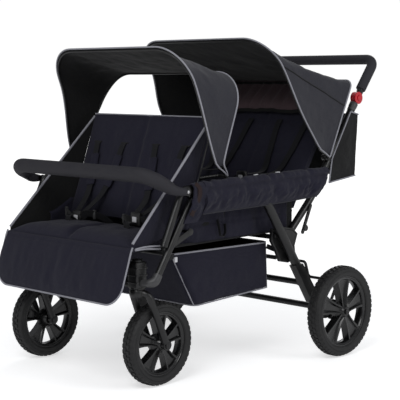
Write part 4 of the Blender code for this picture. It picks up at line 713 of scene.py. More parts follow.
def spoke(x, axle, sign, start, end, turn, scale):
    """One spoke: a dished blade that flares to the rim, with a raised rib on each edge."""
    def rule(u, v, w):
        share = v + 0.5
        flare = share ** 1.7
        width = (0.0235 + 0.0475 * flare) * scale
        edge = smooth_step(0.50, 0.78, abs(2 * u))
        middle = smooth_step(0.05, 0.22, share) * smooth_step(1.02, 0.86, share)
        thick = 0.0185 - 0.0010 * share + 0.0095 * edge - 0.0060 * (1 - edge) * middle
        bow = 0.0070 * (1 - share) ** 1.5
        reach = start + (end - start) * share + 0.004 * abs(2 * u) ** 2 * flare
        return Vector((sign * bow + 2 * w * thick / 2, u * width, reach))
    mesh = moulded((14, 12, 1), rule)
    mesh.transform(Matrix.Rotation(turn, 4, "X"))
    mesh.transform(Matrix.Translation(at(x, axle)))
    return mesh


def rim(x, axle, outer, sign, reach):
    """Rim ring, five spokes and a stepped hub; sign points outwards."""
    half = RIM_WIDTH / 2
    side = [(1.0, outer), (1.0, outer - 0.0034), (0.90, outer - 0.0046), (0.82, outer - 0.0090),
            (0.50, outer - 0.0125)]
    profile = [(x_share * half, r) for x_share, r in side]
    profile += [(-x_share * half, r) for x_share, r in reversed(side)]
    shells = [spun_x(profile, axle, x, steps=96)]
    scale = outer / 0.116
    for i in range(SPOKES):
        shells.append(spoke(x, axle, sign, 0.012, outer - 0.0095, 2 * pi * i / SPOKES, scale))
    bore = 0.0064
    hub = [(-reach, bore), (-reach, 0.0195), (-reach + 0.002, 0.021), (-0.010, 0.0300),
           (0.004, 0.0330), (0.010, 0.0290), (0.016, 0.0205), (0.022, 0.0165),
           (HUB_HALF_LENGTH - 0.001, 0.0150), (HUB_HALF_LENGTH, 0.0138), (HUB_HALF_LENGTH, bore)]
    shells.append(spun_x([(sign * px, r) for px, r in hub], axle, x, steps=48))
    return shells


def brake_disc(x, axle, sign):
    """Slotted disc on the inner end of a rear hub."""
    outline = []
    for i in range(10):
        middle = 2 * pi * i / 10
        for turn, radius in ((-0.19, 0.0235), (0.19, 0.0235), (0.14, 0.0340), (0.314, 0.0340),
                             (0.488, 0.0340)):
            outline.append((axle[0] + radius * cos(middle + turn),
                            axle[1] + radius * sin(middle + turn)))
    start = x - sign * REAR_HUB_REACH
    return plate(outline, start, start + sign * 0.008, 0.0006)


class BuildWheels(Operator):
    """Tyres with tread blocks on spoked rims"""
    bl_idname = "stroller.wheels"
    bl_label = "Wheels"

    def execute(self, context):
        block = context.scene.stroller_sizes.tread_depth
        for side, s in SIDES:
            for end, wheel_x, axle, radius, depth, reach, count in (
                    ("front", FRONT_WHEEL_X, FRONT_AXLE, FRONT_WHEEL_RADIUS, FRONT_TYRE_DEPTH,
                     HUB_HALF_LENGTH, 44),
                    ("rear", REAR_WHEEL_X, REAR_AXLE, REAR_WHEEL_RADIUS, REAR_TYRE_DEPTH,
                     REAR_HUB_REACH, 52)):
                x = s * wheel_x
                body = f"{side}_{end}_wheel"
                shells = rim(x, axle, radius - depth, s, reach)
                if end == "rear":
                    shells.append(brake_disc(x, axle, s))
                add_piece(f"{side}_{end}_rim_finish", joined(*shells), "rim plastic", body,
                          f"{side}_{end}_rim")
                ring = joined(tyre(x, axle, radius, depth, block),
                              tread(x, axle, radius, block, count))
                add_piece(f"{side}_{end}_tyre_finish", ring, "tyre rubber", body,
                          f"{side}_{end}_tyre")
        return {"FINISHED"}


# Forks and swivel housings

class BuildForks(Operator):
    """Curved front forks with their crowns, eyes and axle caps"""
    bl_idname = "stroller.forks"
    bl_label = "Forks"

    def execute(self, context):
        for side, s in SIDES:
            x = s * FRONT_WHEEL_X
            shells = []
            for e in (1, -1):
                arm = rounded([at(x + e * FORK_ARM_X, FRONT_AXLE),
                               at(x + e * FORK_ARM_X, (-0.713, 0.198)),
                               at(x + e * (FORK_ARM_X - 0.002), (SWIVEL_Y + 0.012, 0.288)),
                               at(x + e * 0.006, (SWIVEL_Y, 0.290))], 0.034, 10)
                radii = [1.08 - 0.16 * sin(pi * i / (len(arm) - 1)) for i in range(len(arm))]
                shells.append(bar(arm, 0.0108, 8, radii))
                outer = x + e * 0.0465
                shells.append(disc(x + e * 0.0312, outer, FRONT_AXLE, 0.0158, 0.0018))
                shells.append(disc(outer - e * 0.001, outer + e * 0.0045, FRONT_AXLE, 0.0105,
                                   0.0016))
                shells.append(disc(outer + e * 0.0035, outer + e * 0.0052, FRONT_AXLE, 0.0062,
                                   0.0008, 6))
            shells.append(disc(x - 0.0312, x + 0.0312, FRONT_AXLE, 0.0060, 0.0005, 24))
            centre = at(x, (SWIVEL_Y, 0.0))
            shells.append(spun_z([(0.0, 0.2785), (0.0205, 0.2785), (0.0232, 0.2815),
                                  (0.0240, 0.2880), (0.0236, 0.2960), (0.0215, 0.3005),
                                  (0.0, 0.3008)], centre))
            shells.append(spun_z([(0.0, 0.286), (0.008, 0.286), (0.008, 0.3525), (0.0, 0.3525)],
                                 centre, 20))
            add_piece(f"{side}_fork_finish", joined(*shells), "frame paint", f"{side}_swivel",
                      f"{side}_fork", smooth=40)

            y = SWIVEL_Y
            body = block(at(x - 0.0212, (y - 0.0212, HOUSING_BOTTOM)),
                         at(x + 0.0212, (y + 0.0212, HOUSING_TOP - 0.004)), 0.0075, 4)
            cap = spun_z([(0.0, HOUSING_TOP - 0.005), (0.0165, HOUSING_TOP - 0.005),
                          (0.0165, HOUSING_TOP - 0.001), (0.0145, HOUSING_TOP + 0.0015),
                          (0.0, HOUSING_TOP + 0.0022)], centre)
            ribs = []
            for i in range(3):
                z = HOUSING_BOTTOM + 0.018 + 0.021 * i
                ribs.append(block(at(x - 0.0224, (y - 0.0224, z)),
                                  at(x + 0.0224, (y + 0.0224, z + 0.0045)), 0.0020, 2))
            skirt = spun_z([(0.0, HOUSING_BOTTOM), (0.0222, HOUSING_BOTTOM),
                            (0.0222, HOUSING_BOTTOM + 0.005), (0.0, HOUSING_BOTTOM + 0.006)],
                           centre)
            add_piece(f"{side}_housing_finish", joined(body, cap, skirt, *ribs), "black plastic",
                      node=f"{side}_swivel_housing")

            foot = along(FRONT_LEG_BOTTOM, FRONT_LEG_TOP, -GAP)
            bend = along(FRONT_LEG_BOTTOM, FRONT_LEG_TOP, -0.022)
            arm = rounded([at(s * LEG_X, foot), at(s * LEG_X, bend),
                           at(s * (LEG_X - 0.010), (SWIVEL_Y + 0.004, 0.322)),
                           at(x, (SWIVEL_Y, 0.319))], 0.040, 10)
            radii = [0.80 + 0.28 * sin(pi * min(1.0, 0.25 + 0.75 * i / (len(arm) - 1)))
                     for i in range(len(arm))]
            add_piece(f"{side}_housing_arm", bar(arm, 0.0135, 8, radii), "grey casting", smooth=60)
        low = HOUSING_BOTTOM + 0.003
        reach = FRONT_WHEEL_X - 0.0212 - GAP
        beam = block(at(-reach, (SWIVEL_Y - 0.010, low)),
                     at(reach, (SWIVEL_Y + 0.010, low + 0.028)), 0.004, 3)
        add_piece("front_crossbar_finish", beam, "frame paint", node="front_crossbar", smooth=35)
        return {"FINISHED"}


# Side frames

def rail_height(y):
    share = (y - RAIL_CORNER[0]) / (RAIL_REAR_END[0] - RAIL_CORNER[0])
    return between(RAIL_CORNER, RAIL_REAR_END, share)[1]


def leg_place(z):
    """The rear leg's centre line."""
    share = (z - REAR_AXLE[1]) / (LEG_TOP[1] - REAR_AXLE[1])
    return (LEG_TOP[0] * share, z)


def leg_sleeve(x):
    """Moulded sleeve that widens the rear leg between its casting and its hub."""
    low, high = leg_place(0.172), leg_place(0.306)

    def rule(u, v, w):
        share = v + 0.5
        y, z = between(low, high, share)
        half = 0.0235 - 0.0035 * share
        turn = atan2(w, u)
        reach = 1 / max(abs(cos(turn)), abs(sin(turn)))
        square = 0.80 + 0.20 / reach
        return Vector((x + 2 * w * 0.0149 * square, y + DATUM_Y + 2 * u * half * square,
                       z + 2 * u * half * 0.10))
    return moulded((6, 8, 6), rule)


class BuildSideFrames(Operator):
    """Legs, rails and the castings that join them"""
    bl_idname = "stroller.side_frames"
    bl_label = "Side frames"

    def execute(self, context):
        for side, s in SIDES:
            x = s * LEG_X
            foot = along(REAR_AXLE, LEG_TOP, -0.018)
            leg = bar([at(x, foot), at(x, leg_place(0.560))], LEG_RADIUS, 8)
            add_piece(f"{side}_rear_leg_finish", leg, "frame paint", node=f"{side}_rear_leg",
                      smooth=50)
            add_piece(f"{side}_leg_sleeve", leg_sleeve(x), "black plastic", smooth=50)
            top = along(FRONT_LEG_TOP, FRONT_LEG_BOTTOM, 0.010)
            add_piece(f"{side}_front_leg_finish", bar([at(x, FRONT_LEG_BOTTOM), at(x, top)],
                                                      RAIL_RADIUS, 8), "frame paint",
                      node=f"{side}_front_leg", smooth=50)
            route = [at(x, p) for p in (RAIL_FRONT_BOTTOM, RAIL_CORNER, RAIL_REAR_END)]
            shells = [bar(rounded(route, RAIL_CORNER_RADIUS, 12), RAIL_RADIUS, 8)]
            for place in (LEG_TOP, FRONT_LEG_TOP):
                z = rail_height(place[0])
                shells.append(block(at(x - 0.0101, (place[0] - 0.023, z - 0.026)),
                                    at(x + 0.0101, (place[0] + 0.023, z)), 0.003))
            pin = spun_x([(x, 0.0), (x, 0.009), (s * 0.3400, 0.009), (s * 0.3405, 0.0085),
                          (s * 0.3405, 0.005), (s * 0.3420, 0.005), (s * 0.3420, 0.0)],
                         BUMPER_PIVOT, steps=32, ring=False)
            add_piece(f"{side}_side_rail_finish", joined(*shells, pin), "frame paint",
                      node=f"{side}_side_rail")

            outer = s * (LEG_X - LEG_RADIUS - GAP)
            inner = s * (LEG_X - LEG_RADIUS - GAP - 0.0117)
            shells = [plate(GUSSET_OUTLINE, inner, outer, 0.0016, recess=(0.0055, 0.0022))]
            shells.append(disc(inner, s * 0.2870, FOLD_PIVOT, 0.005, 0.0004, 24))
            shells.append(disc(s * 0.2681, s * 0.2716, FOLD_PIVOT, 0.010, 0.0010, 32))
            shells.append(disc(s * 0.2716, s * 0.2872, FOLD_PIVOT, 0.005, 0.0003, 24))
            for place in GUSSET_BOLTS:
                shells.append(disc(outer - s * 0.004, outer - s * 0.0002, place, 0.0080,
                                   0.0012, 32))
            add_piece(f"{side}_gusset_finish", joined(*shells), "black plastic",
                      node=f"{side}_gusset")
            hub = self.hub(s)
            add_piece(f"{side}_rear_hub_finish", hub, "black plastic", node=f"{side}_rear_hub")
            tip = REAR_WHEEL_X - REAR_HUB_REACH - 0.001
            pin = disc(s * (tip - 0.036), s * tip, (-0.0285, REAR_AXLE[1]), 0.0035, 0.0005, 24)
            add_piece(f"{side}_brake_pin_finish", pin, "steel", f"{side}_brake_pin",
                      f"{side}_brake_pin")
        return {"FINISHED"}

    def hub(self, s):
        """Brake housing beside the leg, with the neck that the brake bar turns on."""
        start, end, neck, cap = 0.3408, 0.3698, 0.3893, 0.4545
        profile = [(start, 0.0), (start, 0.0262), (start + 0.004, 0.0310), (start + 0.007, 0.0338),
                   (start + 0.013, 0.0340), (start + 0.0135, 0.0330), (start + 0.0155, 0.0330),
                   (start + 0.016, 0.0340), (end - 0.002, 0.0340), (end, 0.0322), (end, 0.0140),
                   (neck, 0.0140), (neck, 0.0060), (cap, 0.0060), (cap, 0.0095),
                   (cap + 0.003, 0.0100), (cap + 0.005, 0.0075), (cap + 0.005, 0.0)]
        return spun_x([(s * px, r) for px, r in profile], REAR_AXLE, steps=56, ring=False)


class BuildCrossMembers(Operator):
    """Cross tubes behind and under the seats"""
    bl_idname = "stroller.cross_members"
    bl_label = "Cross members"

    def execute(self, context):
        reach = LEG_X - LEG_RADIUS - GAP
        for name, place, radius in (("rear_axle_tube", REAR_AXLE, 0.0105),
                                    ("rear_crossbar", leg_place(0.238), 0.010)):
            tube = bar([at(-reach, place), at(reach, place)], radius, 8)
            collars = [disc(s * (reach - 0.012), s * (reach - 0.0002), place, radius + 0.0022,
                            0.0014) for s in (1, -1)]
            add_piece(f"{name}_finish", joined(tube, *collars), "frame paint", node=name)
        reach = 0.2982
        tube = bar([at(-reach, (-0.200, 0.4037)), at(reach, (-0.200, 0.4037))], 0.008, 6)
        add_piece("rear_seat_bar_finish", tube, "frame paint", node="rear_seat_bar")
        add_piece("front_seat_bar_finish", copied("front_seat_bar", 0.0005), "frame paint",
                  node="front_seat_bar", smooth=40)
        return {"FINISHED"}


# Push frame, handle and levers

def strip(start, end, half_width, x0, x1, width=0.0012):
    """Straight flat bar in side view, from x0 to x1."""
    span = hypot(end[0] - start[0], end[1] - start[1])
    across = (-(end[1] - start[1]) / span * half_width, (end[0] - start[0]) / span * half_width)
    outline = [(start[0] + across[0], start[1] + across[1]),
               (start[0] - across[0], start[1] - across[1]),
               (end[0] - across[0], end[1] - across[1]),
               (end[0] + across[0], end[1] + across[1])]
    return plate(outline, x0, x1, width)


class BuildPushFrame(Operator):
    """Push tubes with their eyes, lugs, grey collars and lock levers"""
    bl_idname = "stroller.push_frame"
    bl_label = "Push frame"

    def execute(self, context):
        for side, s in SIDES:
            x = s * PUSH_X
            top = along(HANDLE_PIVOT, PUSH_BEND, 0.028)
            route = rounded([at(x, p) for p in (FOLD_PIVOT, PUSH_BEND, top)], 0.20, 14)
            outer = s * (PUSH_X + PUSH_RADIUS)
            shells = [bar(route, PUSH_RADIUS, 8)]
            shells.append(disc(s * (PUSH_X - PUSH_RADIUS), outer, FOLD_PIVOT, 0.018, 0.0015))
            anchor = (REAR_CANOPY_PIVOT[0] + 0.026, REAR_CANOPY_PIVOT[1] - 0.004)
            shells.append(strip(REAR_CANOPY_PIVOT, anchor, 0.0098, s * (PUSH_X - 0.0055),
                                outer - s * 0.0003))
            shells.append(disc(s * (PUSH_X - 0.006), outer, REAR_CANOPY_PIVOT, 0.010, 0.001))
            add_piece(f"{side}_push_tube_finish", joined(*shells), "frame paint", "push_frame",
                      f"{side}_push_tube")

            low = along(HANDLE_PIVOT, PUSH_BEND, 0.054)
            high = along(HANDLE_PIVOT, PUSH_BEND, 0.023)
            steps = [high, along(high, low, 0.002), along(high, low, 0.016),
                     along(high, low, 0.019), along(high, low, 0.029), low]
            radii = [0.90, 1.0, 1.0, 0.93, 0.93, 0.90]
            add_piece(f"{side}_hinge_collar", bar([at(x, p) for p in steps], 0.0149, 8, radii),
                      "grey casting", "push_frame", smooth=50)
            inner = s * (PUSH_X - 0.0118)
            split = s * (PUSH_X - 0.0003)
            neck = strip(HANDLE_PIVOT, along(HANDLE_PIVOT, PUSH_BEND, 0.029), 0.0095, inner, split)
            add_piece(f"{side}_hinge_finish", joined(disc(inner, split, HANDLE_PIVOT, 0.0212,
                                                          0.0014), neck), "red plastic",
                      "push_frame", f"{side}_handle_hinge")
            button = disc(s * (PUSH_X + 0.0083), s * (PUSH_X + 0.0155), HANDLE_PIVOT, 0.0098,
                          0.0016)
            add_piece(f"{side}_button_finish", button, "red plastic", f"{side}_handle_button",
                      f"{side}_handle_button")
            self.lever(side, s)
        return {"FINISHED"}

    def lever(self, side, s):
        """Flat lever beside the push tube, notched on its front edge, with a round knob."""
        face = PUSH_X + PUSH_RADIUS + 0.001
        heading = atan2(LEVER_TOE[1] - LEVER_PIVOT[1], LEVER_TOE[0] - LEVER_PIVOT[0])
        outline = []
        for centre, start in ((LEVER_PIVOT, heading + pi / 2), (LEVER_TOE, heading - pi / 2)):
            for i in range(13):
                turn = start + pi * i / 12
                outline.append((centre[0] + 0.0065 * cos(turn), centre[1] + 0.0065 * sin(turn)))
        shells = [plate(outline, s * face, s * (face + 0.005), 0.0010)]
        for reach in (0.028, 0.050, 0.070):
            place = along(LEVER_PIVOT, LEVER_TOE, reach)
            shells.append(disc(s * (face + 0.0035), s * (face + 0.0072), place, 0.0042,
                               0.0008, 24))
        knob = along(LEVER_TOE, LEVER_PIVOT, 0.014)
        knob = (knob[0] + 0.006, knob[1])
        shells.append(disc(s * (face + 0.004), s * (face + 0.009), knob, 0.0105, 0.0014))
        shells.append(disc(s * (face - 0.005), s * (face + 0.001), LEVER_PIVOT, 0.004, 0.0003, 24))
        add_piece(f"{side}_lock_lever_finish", joined(*shells), "black plastic",
                  f"{side}_lock_lever", f"{side}_lock_lever")


class BuildHandle(Operator):
    """Tilting handle: hinge halves, tube and foam grip"""
    bl_idname = "stroller.handle"
    bl_label = "Handle"

    def execute(self, context):
        corner = HANDLE_CORNER
        base = along(HANDLE_PIVOT, corner, 0.026)
        route = [at(PUSH_X, base), at(PUSH_X, corner), at(-PUSH_X, corner), at(-PUSH_X, base)]
        up = along(HANDLE_PIVOT, corner, 0.032)
        shells = [bar(rounded(route, HANDLE_CORNER_RADIUS, 12), 0.011, 8)]
        shells += [strip(HANDLE_PIVOT, up, 0.0088, s * (PUSH_X + 0.0005), s * (PUSH_X + 0.0103))
                   for s in (1, -1)]
        add_piece("handle_bar_finish", joined(*shells), "frame paint", "handle", "handle_bar")
        for side, s in SIDES:
            half = spun_x([(s * (PUSH_X + 0.0003), 0.0103), (s * (PUSH_X + 0.0003), 0.0205),
                           (s * (PUSH_X + 0.0015), 0.0212), (s * (PUSH_X + 0.0100), 0.0212),
                           (s * (PUSH_X + 0.0117), 0.0196), (s * (PUSH_X + 0.0117), 0.0114),
                           (s * (PUSH_X + 0.0108), 0.0103)], HANDLE_PIVOT, steps=48)
            add_piece(f"{side}_handle_disc", half, "red plastic", "handle")
        start = along(HANDLE_PIVOT, corner, GRIP_START)
        route = [at(PUSH_X, start), at(PUSH_X, corner), at(-PUSH_X, corner), at(-PUSH_X, start)]
        path = rounded(route, HANDLE_CORNER_RADIUS, 14)
        lead = path[0] + (path[1] - path[0]).normalized() * 0.0025
        tail = path[-1] + (path[-2] - path[-1]).normalized() * 0.0025
        path = [path[0], lead, *path[1:-1], tail, path[-1]]
        radii = [0.88] + [1.0] * (len(path) - 2) + [0.88]
        stuffed("handle_grip_finish", bar(path, GRIP_RADIUS, 12, radii), "handle",
                "handle_grip", "foam sleeve")
        return {"FINISHED"}


class BuildBrake(Operator):
    """Bent foot bar hinged round the rear hubs"""
    bl_idname = "stroller.brake"
    bl_label = "Brake"

    def execute(self, context):
        root = along(REAR_AXLE, BRAKE_BAR, 0.019)
        knee = along(REAR_AXLE, BRAKE_BAR, 0.086)
        half = [at(BRAKE_EYE_X, root), at(BRAKE_EYE_X, knee), at(0.345, BRAKE_BAR),
                at(0.250, BRAKE_BAR), at(0.238, BRAKE_PEDAL)]
        route = both_halves(half)
        shells = [bar(rounded(route, 0.013, 8), 0.005, 6)]
        for s in (1, -1):
            a, b = s * (BRAKE_EYE_X - 0.0055), s * (BRAKE_EYE_X + 0.0055)
            shells.append(spun_x([(a, 0.0144), (a, 0.0205), (a + s * 0.001, 0.0215),
                                  (b - s * 0.001, 0.0215), (b, 0.0205), (b, 0.0144)],
                                 REAR_AXLE, steps=48))
        add_piece("brake_bar_finish", joined(*shells), "frame paint", "brake_bar", "brake_bar")
        pad = bar([at(-0.105, BRAKE_PEDAL), at(0.105, BRAKE_PEDAL)], 0.0076, 6)
        add_piece("brake_pad", pad, "tyre rubber", "brake_bar", smooth=45)
        return {"FINISHED"}


class BuildBumper(Operator):
    """Foam bumper bar across the front seats, with the rivets it turns on"""
    bl_idname = "stroller.bumper"
    bl_label = "Bumper bar"

    def execute(self, context):
        knee = (BUMPER_PIVOT[0] - 0.046, BUMPER_PIVOT[1] + 0.005)
        end = along(BUMPER_PIVOT, knee, 0.012)
        front_x, knee_x = BUMPER_X - 0.030, BUMPER_X - 0.012
        half = [at(BUMPER_X + 0.001, end), at(knee_x, knee), at(front_x, BUMPER_FRONT)]
        route = both_halves(half)
        path = rounded(route, 0.085, 24)
        reach = [min((p - path[0]).length, (p - path[-1]).length) for p in path]
        radii = [0.48 + 0.52 * smooth_step(-0.006, 0.110, r) ** 0.8 for r in reach]
        mesh = bar(path, BUMPER_RADIUS, 12, radii)
        limit = BUMPER_PIVOT[0] - 0.062 + DATUM_Y
        for vert in mesh.vertices:
            share = smooth_step(limit - 0.012, limit, vert.co.y)
            side = 1 if vert.co.x > 0 else -1
            if share and abs(vert.co.x) < BUMPER_FLAT_X:
                vert.co.x += (side * BUMPER_FLAT_X - vert.co.x) * share
        stuffed("bumper_bar_finish", mesh, "bumper_bar", "bumper_bar", "foam sleeve")
        for side, s in SIDES:
            plate_end = strip(BUMPER_PIVOT, along(BUMPER_PIVOT, knee, 0.022), 0.0085,
                              s * BUMPER_FLAT_X, s * (BUMPER_FLAT_X + 0.0065), 0.0016)
            eye = disc(s * BUMPER_FLAT_X, s * (BUMPER_FLAT_X + 0.0065), BUMPER_PIVOT, 0.0120,
                       0.0016)
            add_piece(f"{side}_bumper_end", joined(plate_end, eye), "black plastic", "bumper_bar")
            face = s * (BUMPER_FLAT_X + 0.0060)
            rivet = spun_x([(face, 0.0), (face, 0.0055), (face + s * 0.0012, 0.0050),
                            (face + s * 0.0024, 0.0032), (face + s * 0.0028, 0.0)], BUMPER_PIVOT,
                           steps=32, ring=False)
            add_piece(f"{side}_bumper_rivet", rivet, "steel", "bumper_bar")
        return {"FINISHED"}


# Cloth shapes

def wrinkle(place, scale, seed):
    """Smooth unevenness of cloth, from about -1 to 1."""
    return noise.fractal(Vector(place) * scale + Vector((seed, 1.7 * seed, -seed)), 0.6, 2.0, 3)


def groove(value, width):
    """Depth of a sewn channel at a distance from its seam, from 0 to 1."""
    return exp(-(value / width) ** 2)


def crown(u, v, power):
    """Height of a stuffed pad over its face: 1 in the middle and 0 at its edges."""
    return (1 - abs(2 * u) ** power) * (1 - abs(2 * v) ** power)


def corner_inset(rest, radius):
    """How far a rounded corner has drawn an edge in, at a distance from the end."""
    if rest >= radius:
        return 0.0
    return radius - sqrt(max(radius ** 2 - (radius - rest) ** 2, 0.0))


def polar(centre, angle, reach):
    """The side-view point at an angle in degrees above +Y."""
    turn = radians(angle)
    return (centre[0] + reach * cos(turn), centre[1] + reach * sin(turn))


# How far a canopy's legs bow forward, and between which heights
NO_BULGE = (0.0, 0.0, 1.0)
FRONT_BOW_BULGE = (0.055, 0.0, 0.30)
FRONT_HOOP_BULGE = (0.055, 0.02, 0.34)
REAR_HOOP_BULGE = (0.060, 0.15, 0.42)

# Wires: angle above +Y, half width, height, corner radius, start of the legs, bulge
FRONT_BOW = (77.5, 0.3100, 0.3222, 0.108, 0.0, FRONT_BOW_BULGE)
FRONT_HOOP = (116.3, 0.3115, 0.429, 0.115, 0.0, FRONT_HOOP_BULGE)
REAR_BOW = (65.0, 0.2835, 0.283, 0.040, 0.0118, NO_BULGE)
REAR_HOOP = (129.2, 0.3045, 0.500, 0.110, 0.0, REAR_HOOP_BULGE)
WIRE_RADIUS = 0.003

# Rear and front edge of the cloth: angle above +Y, half width, height, corner radius, bulge
FRONT_CANOPY_EDGES = ((77.5, 0.3158, 0.3263, 0.112, FRONT_BOW_BULGE),
                      (116.3, 0.3158, 0.4373, 0.118, FRONT_HOOP_BULGE))
REAR_CANOPY_EDGES = ((65.0, 0.3088, 0.2863, 0.030, NO_BULGE),
                     (129.2, 0.3088, 0.5083, 0.112, REAR_HOOP_BULGE))


def arch(share, half_width, height, corner, start):
    """Place and outward direction on an arch, in its own plane, for a share from 0 to 1."""
    mirrored = share > 0.5
    walk = 2 * (1 - share if mirrored else share)
    leg, bend = 0.42, 0.72
    if walk <= leg:
        x, h = half_width, start + (height - corner - start) * walk / leg
        nx, nh = 1.0, 0.0
    elif walk <= bend:
        turn = (walk - leg) / (bend - leg) * pi / 2
        nx, nh = cos(turn), sin(turn)
        x, h = half_width - corner + corner * nx, height - corner + corner * nh
    else:
        x, h = (half_width - corner) * (1 - (walk - bend) / (1 - bend)), height
        nx, nh = 0.0, 1.0
    return (-x, h, -nx, nh) if mirrored else (x, h, nx, nh)


def arch_place(pivot, angle, x, h, bulge):
    """Place on a canopy's edge; bulge is how far its legs bow forward, and from which heights."""
    forward, low, high = bulge
    shift = forward * smooth_step(0.0, 0.050, h) * smooth_step(high, low, h)
    outwards = 0.45 * shift * (1 if x > 0 else -1)
    return at(x, polar(pivot, angle, h)) + Vector((outwards, -shift, 0))


def arch_path(pivot, angle, half_width, height, corner, start, bulge, count=96):
    path = []
    for i in range(count + 1):
        x, h, _, _ = arch(i / count, half_width, height, corner, start)
        path.append(arch_place(pivot, angle, x, h, bulge))
    return path


def outward(mesh, centre):
    """Turns a sheet's faces so that they point away from a centre."""
    bm = bmesh.new()
    bm.from_mesh(mesh)
    bmesh.ops.remove_doubles(bm, verts=bm.verts, dist=1e-5)
    total = sum((f.calc_center_median() - centre).dot(f.normal) * f.calc_area() for f in bm.faces)
    if total < 0:
        bmesh.ops.reverse_faces(bm, faces=bm.faces)
    bm.to_mesh(mesh)
    bm.free()
    return mesh


def canopy_sheet(pivot, rear, front, start, sag, seed):
    """Cloth between two arches, each (angle, half width, height, corner, bulge)."""
    middle = (rear[0] + front[0]) / 2

    def rule(u, v):
        ends = []
        for angle, half_width, height, corner, bulge in (rear, front):
            x, h, nx, nh = arch(u, half_width, height, corner, start)
            ends.append(arch_place(pivot, angle, x, h, bulge))
        place = ends[0].lerp(ends[1], v)
        slack = sin(pi * v) ** 0.7
        side = 1 - nh
        place.z -= sag * nh * slack
        turn = radians(middle)
        away = Vector((nx, nh * cos(turn), nh * sin(turn)))
        ripple = 0.0045 * wrinkle(place, 9.0, seed) + 0.0020 * wrinkle(place, 26.0, seed + 3)
        drawn = 0.0060 * side * nx * (1 if nx > 0 else -1)
        place += away * (ripple - drawn) * slack
        return place
    centre = at(0.0, polar(pivot, middle, 0.15))
    return outward(spread(150, 34, rule), centre), rule


def hung_sheet(name, mesh, look, body, node=None, inside=None):
    """A sheet of cloth with its thickness."""
    thick = bpy.context.scene.stroller_sizes.cloth_thickness
    piece = add_piece(name, mesh, look, body, node, 60, thick, inside)
    return piece


def canopy_wire(name, node, body, pivot, wire, eyes=()):
    """Bent wire of a canopy with its flat eyes: (inner x, outer x, radius, edge, steps)."""
    shells = [bar(arch_path(pivot, *wire), WIRE_RADIUS, 5)]
    for s in (1, -1):
        shells += [disc(s * inner, s * outer, pivot, radius, edge, steps)
                   for inner, outer, radius, edge, steps in eyes]
    add_piece(f"{name}_finish", joined(*shells), "frame paint", body, node)


def canopy_span(pivot, edges, height, reach):
    """Where a canopy starts and ends, to both sides of its middle."""
    middle = (edges[0][0] + edges[1][0]) / 2
    turn = radians(middle)
    heart = at(0.0, polar(pivot, middle, height))
    across = Vector((0, sin(turn), -cos(turn))) * reach
    return heart + across, heart - across


def canopy_cover(end, pivot, edges, shape, span):
    """Lined cloth between the wires, with corded edges; shape is (start, sag, seed)."""
    mesh, rule = canopy_sheet(pivot, *edges, *shape)
    cover = hung_sheet(f"{end}_canopy_cloth", mesh, "canopy cloth", None,
                       f"{end}_canopy",
                       "lining cloth")
    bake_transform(cover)
    for label, (angle, half, height, corner, bulge) in zip(("rear", "front"), edges):
        path = arch_path(pivot, angle, half + 0.0012, height + 0.0012, corner, 0.002, bulge)
        edge = corded(f"{end}_canopy_{label}_piping", path, body=None)
        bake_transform(edge)
    return rule


class BuildFrontCanopy(Operator):
    """Front canopy: hoop, rear bow, lined cloth and corded edges"""
    bl_idname = "stroller.front_canopy"
    bl_label = "Front canopy"

    def execute(self, context):
        pivot, edges = FRONT_CANOPY_PIVOT, FRONT_CANOPY_EDGES
        canopy_wire("front_hoop", "front_hoop", "front_hoop", pivot, FRONT_HOOP,
                    [(0.3095, 0.3155, 0.008, 0.0008, 28)])
        canopy_wire("front_bow", "front_canopy_bow", "front_backrest", pivot, FRONT_BOW,
                    [(0.3032, 0.3092, 0.008, 0.0008, 28)])
        canopy_cover("front", pivot, edges, (0.036, 0.006, 2.0),
                     canopy_span(pivot, edges, 0.33, 0.125))
        return {"FINISHED"}


class BuildRearCanopy(Operator):
    """Rear canopy: hoop, bow, lined cloth with its seams, corded edges and gathered valance"""
    bl_idname = "stroller.rear_canopy"
    bl_label = "Rear canopy"

    def execute(self, context):
        pivot, edges = REAR_CANOPY_PIVOT, REAR_CANOPY_EDGES
        canopy_wire("rear_hoop", "rear_hoop", "rear_hoop", pivot, REAR_HOOP,
                    [(0.3025, 0.3085, 0.008, 0.0008, 28), (0.291, 0.3055, 0.004, 0.0003, 20)])
        canopy_wire("rear_bow", "rear_canopy_bow", "push_frame", pivot, REAR_BOW)
        span = canopy_span(pivot, edges, 0.36, 0.20)
        rule = canopy_cover("rear", pivot, edges, (0.004, 0.018, 5.0),
                            span)
        for name, s in SIDES:
            path = [rule(0.5 - s * (0.345 - 0.055 * i / 30), i / 30) for i in range(31)]
            seam = corded(f"{name}_rear_canopy_seam", path, 0.0023, "lining cloth", body=None)
            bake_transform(seam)
        self.valance(pivot, REAR_BOW[0])
        return {"FINISHED"}

    def valance(self, pivot, angle):
        """Gathered strip of lining that hangs inside the bow, behind the rear seats."""
        top = polar(pivot, angle, 0.286)
        top = (top[0] - 0.010, top[1])
        width, drop, forward, gather_pitch = 0.556, 0.106, 0.086, 0.052

        def rule(u, v):
            x = (u - 0.5) * width
            phase = 2 * pi * x / gather_pitch + 2.2 * wrinkle((x, 0, 0), 9.0, 1.0)
            gather = 0.0050 * sin(phase) * sin(pi * min(1.0, 0.12 + 0.88 * v))
            y = top[0] - forward * smooth_step(-0.1, 0.9, v) + gather
            z = top[1] - drop * v - 0.006 * v * wrinkle((x, 0, 0), 14.0, 4.0)
            return at(x, (y, z))
        mesh = outward(spread(120, 18, rule), at(0.0, (top[0] + 1.0, top[1])))
        hung_sheet("rear_valance", mesh, "valance cloth", "push_frame")
        for label, share in (("top", 0.10), ("base", 1.0)):
            path = [rule(i / 60, share) + Vector((0, -0.002, 0)) for i in range(61)]
            add_piece(f"rear_valance_{label}_tape", belt(path, 0.012, 0.0016, across=(0, 0, 1)),
                      "lining cloth", "push_frame")


# Front seats

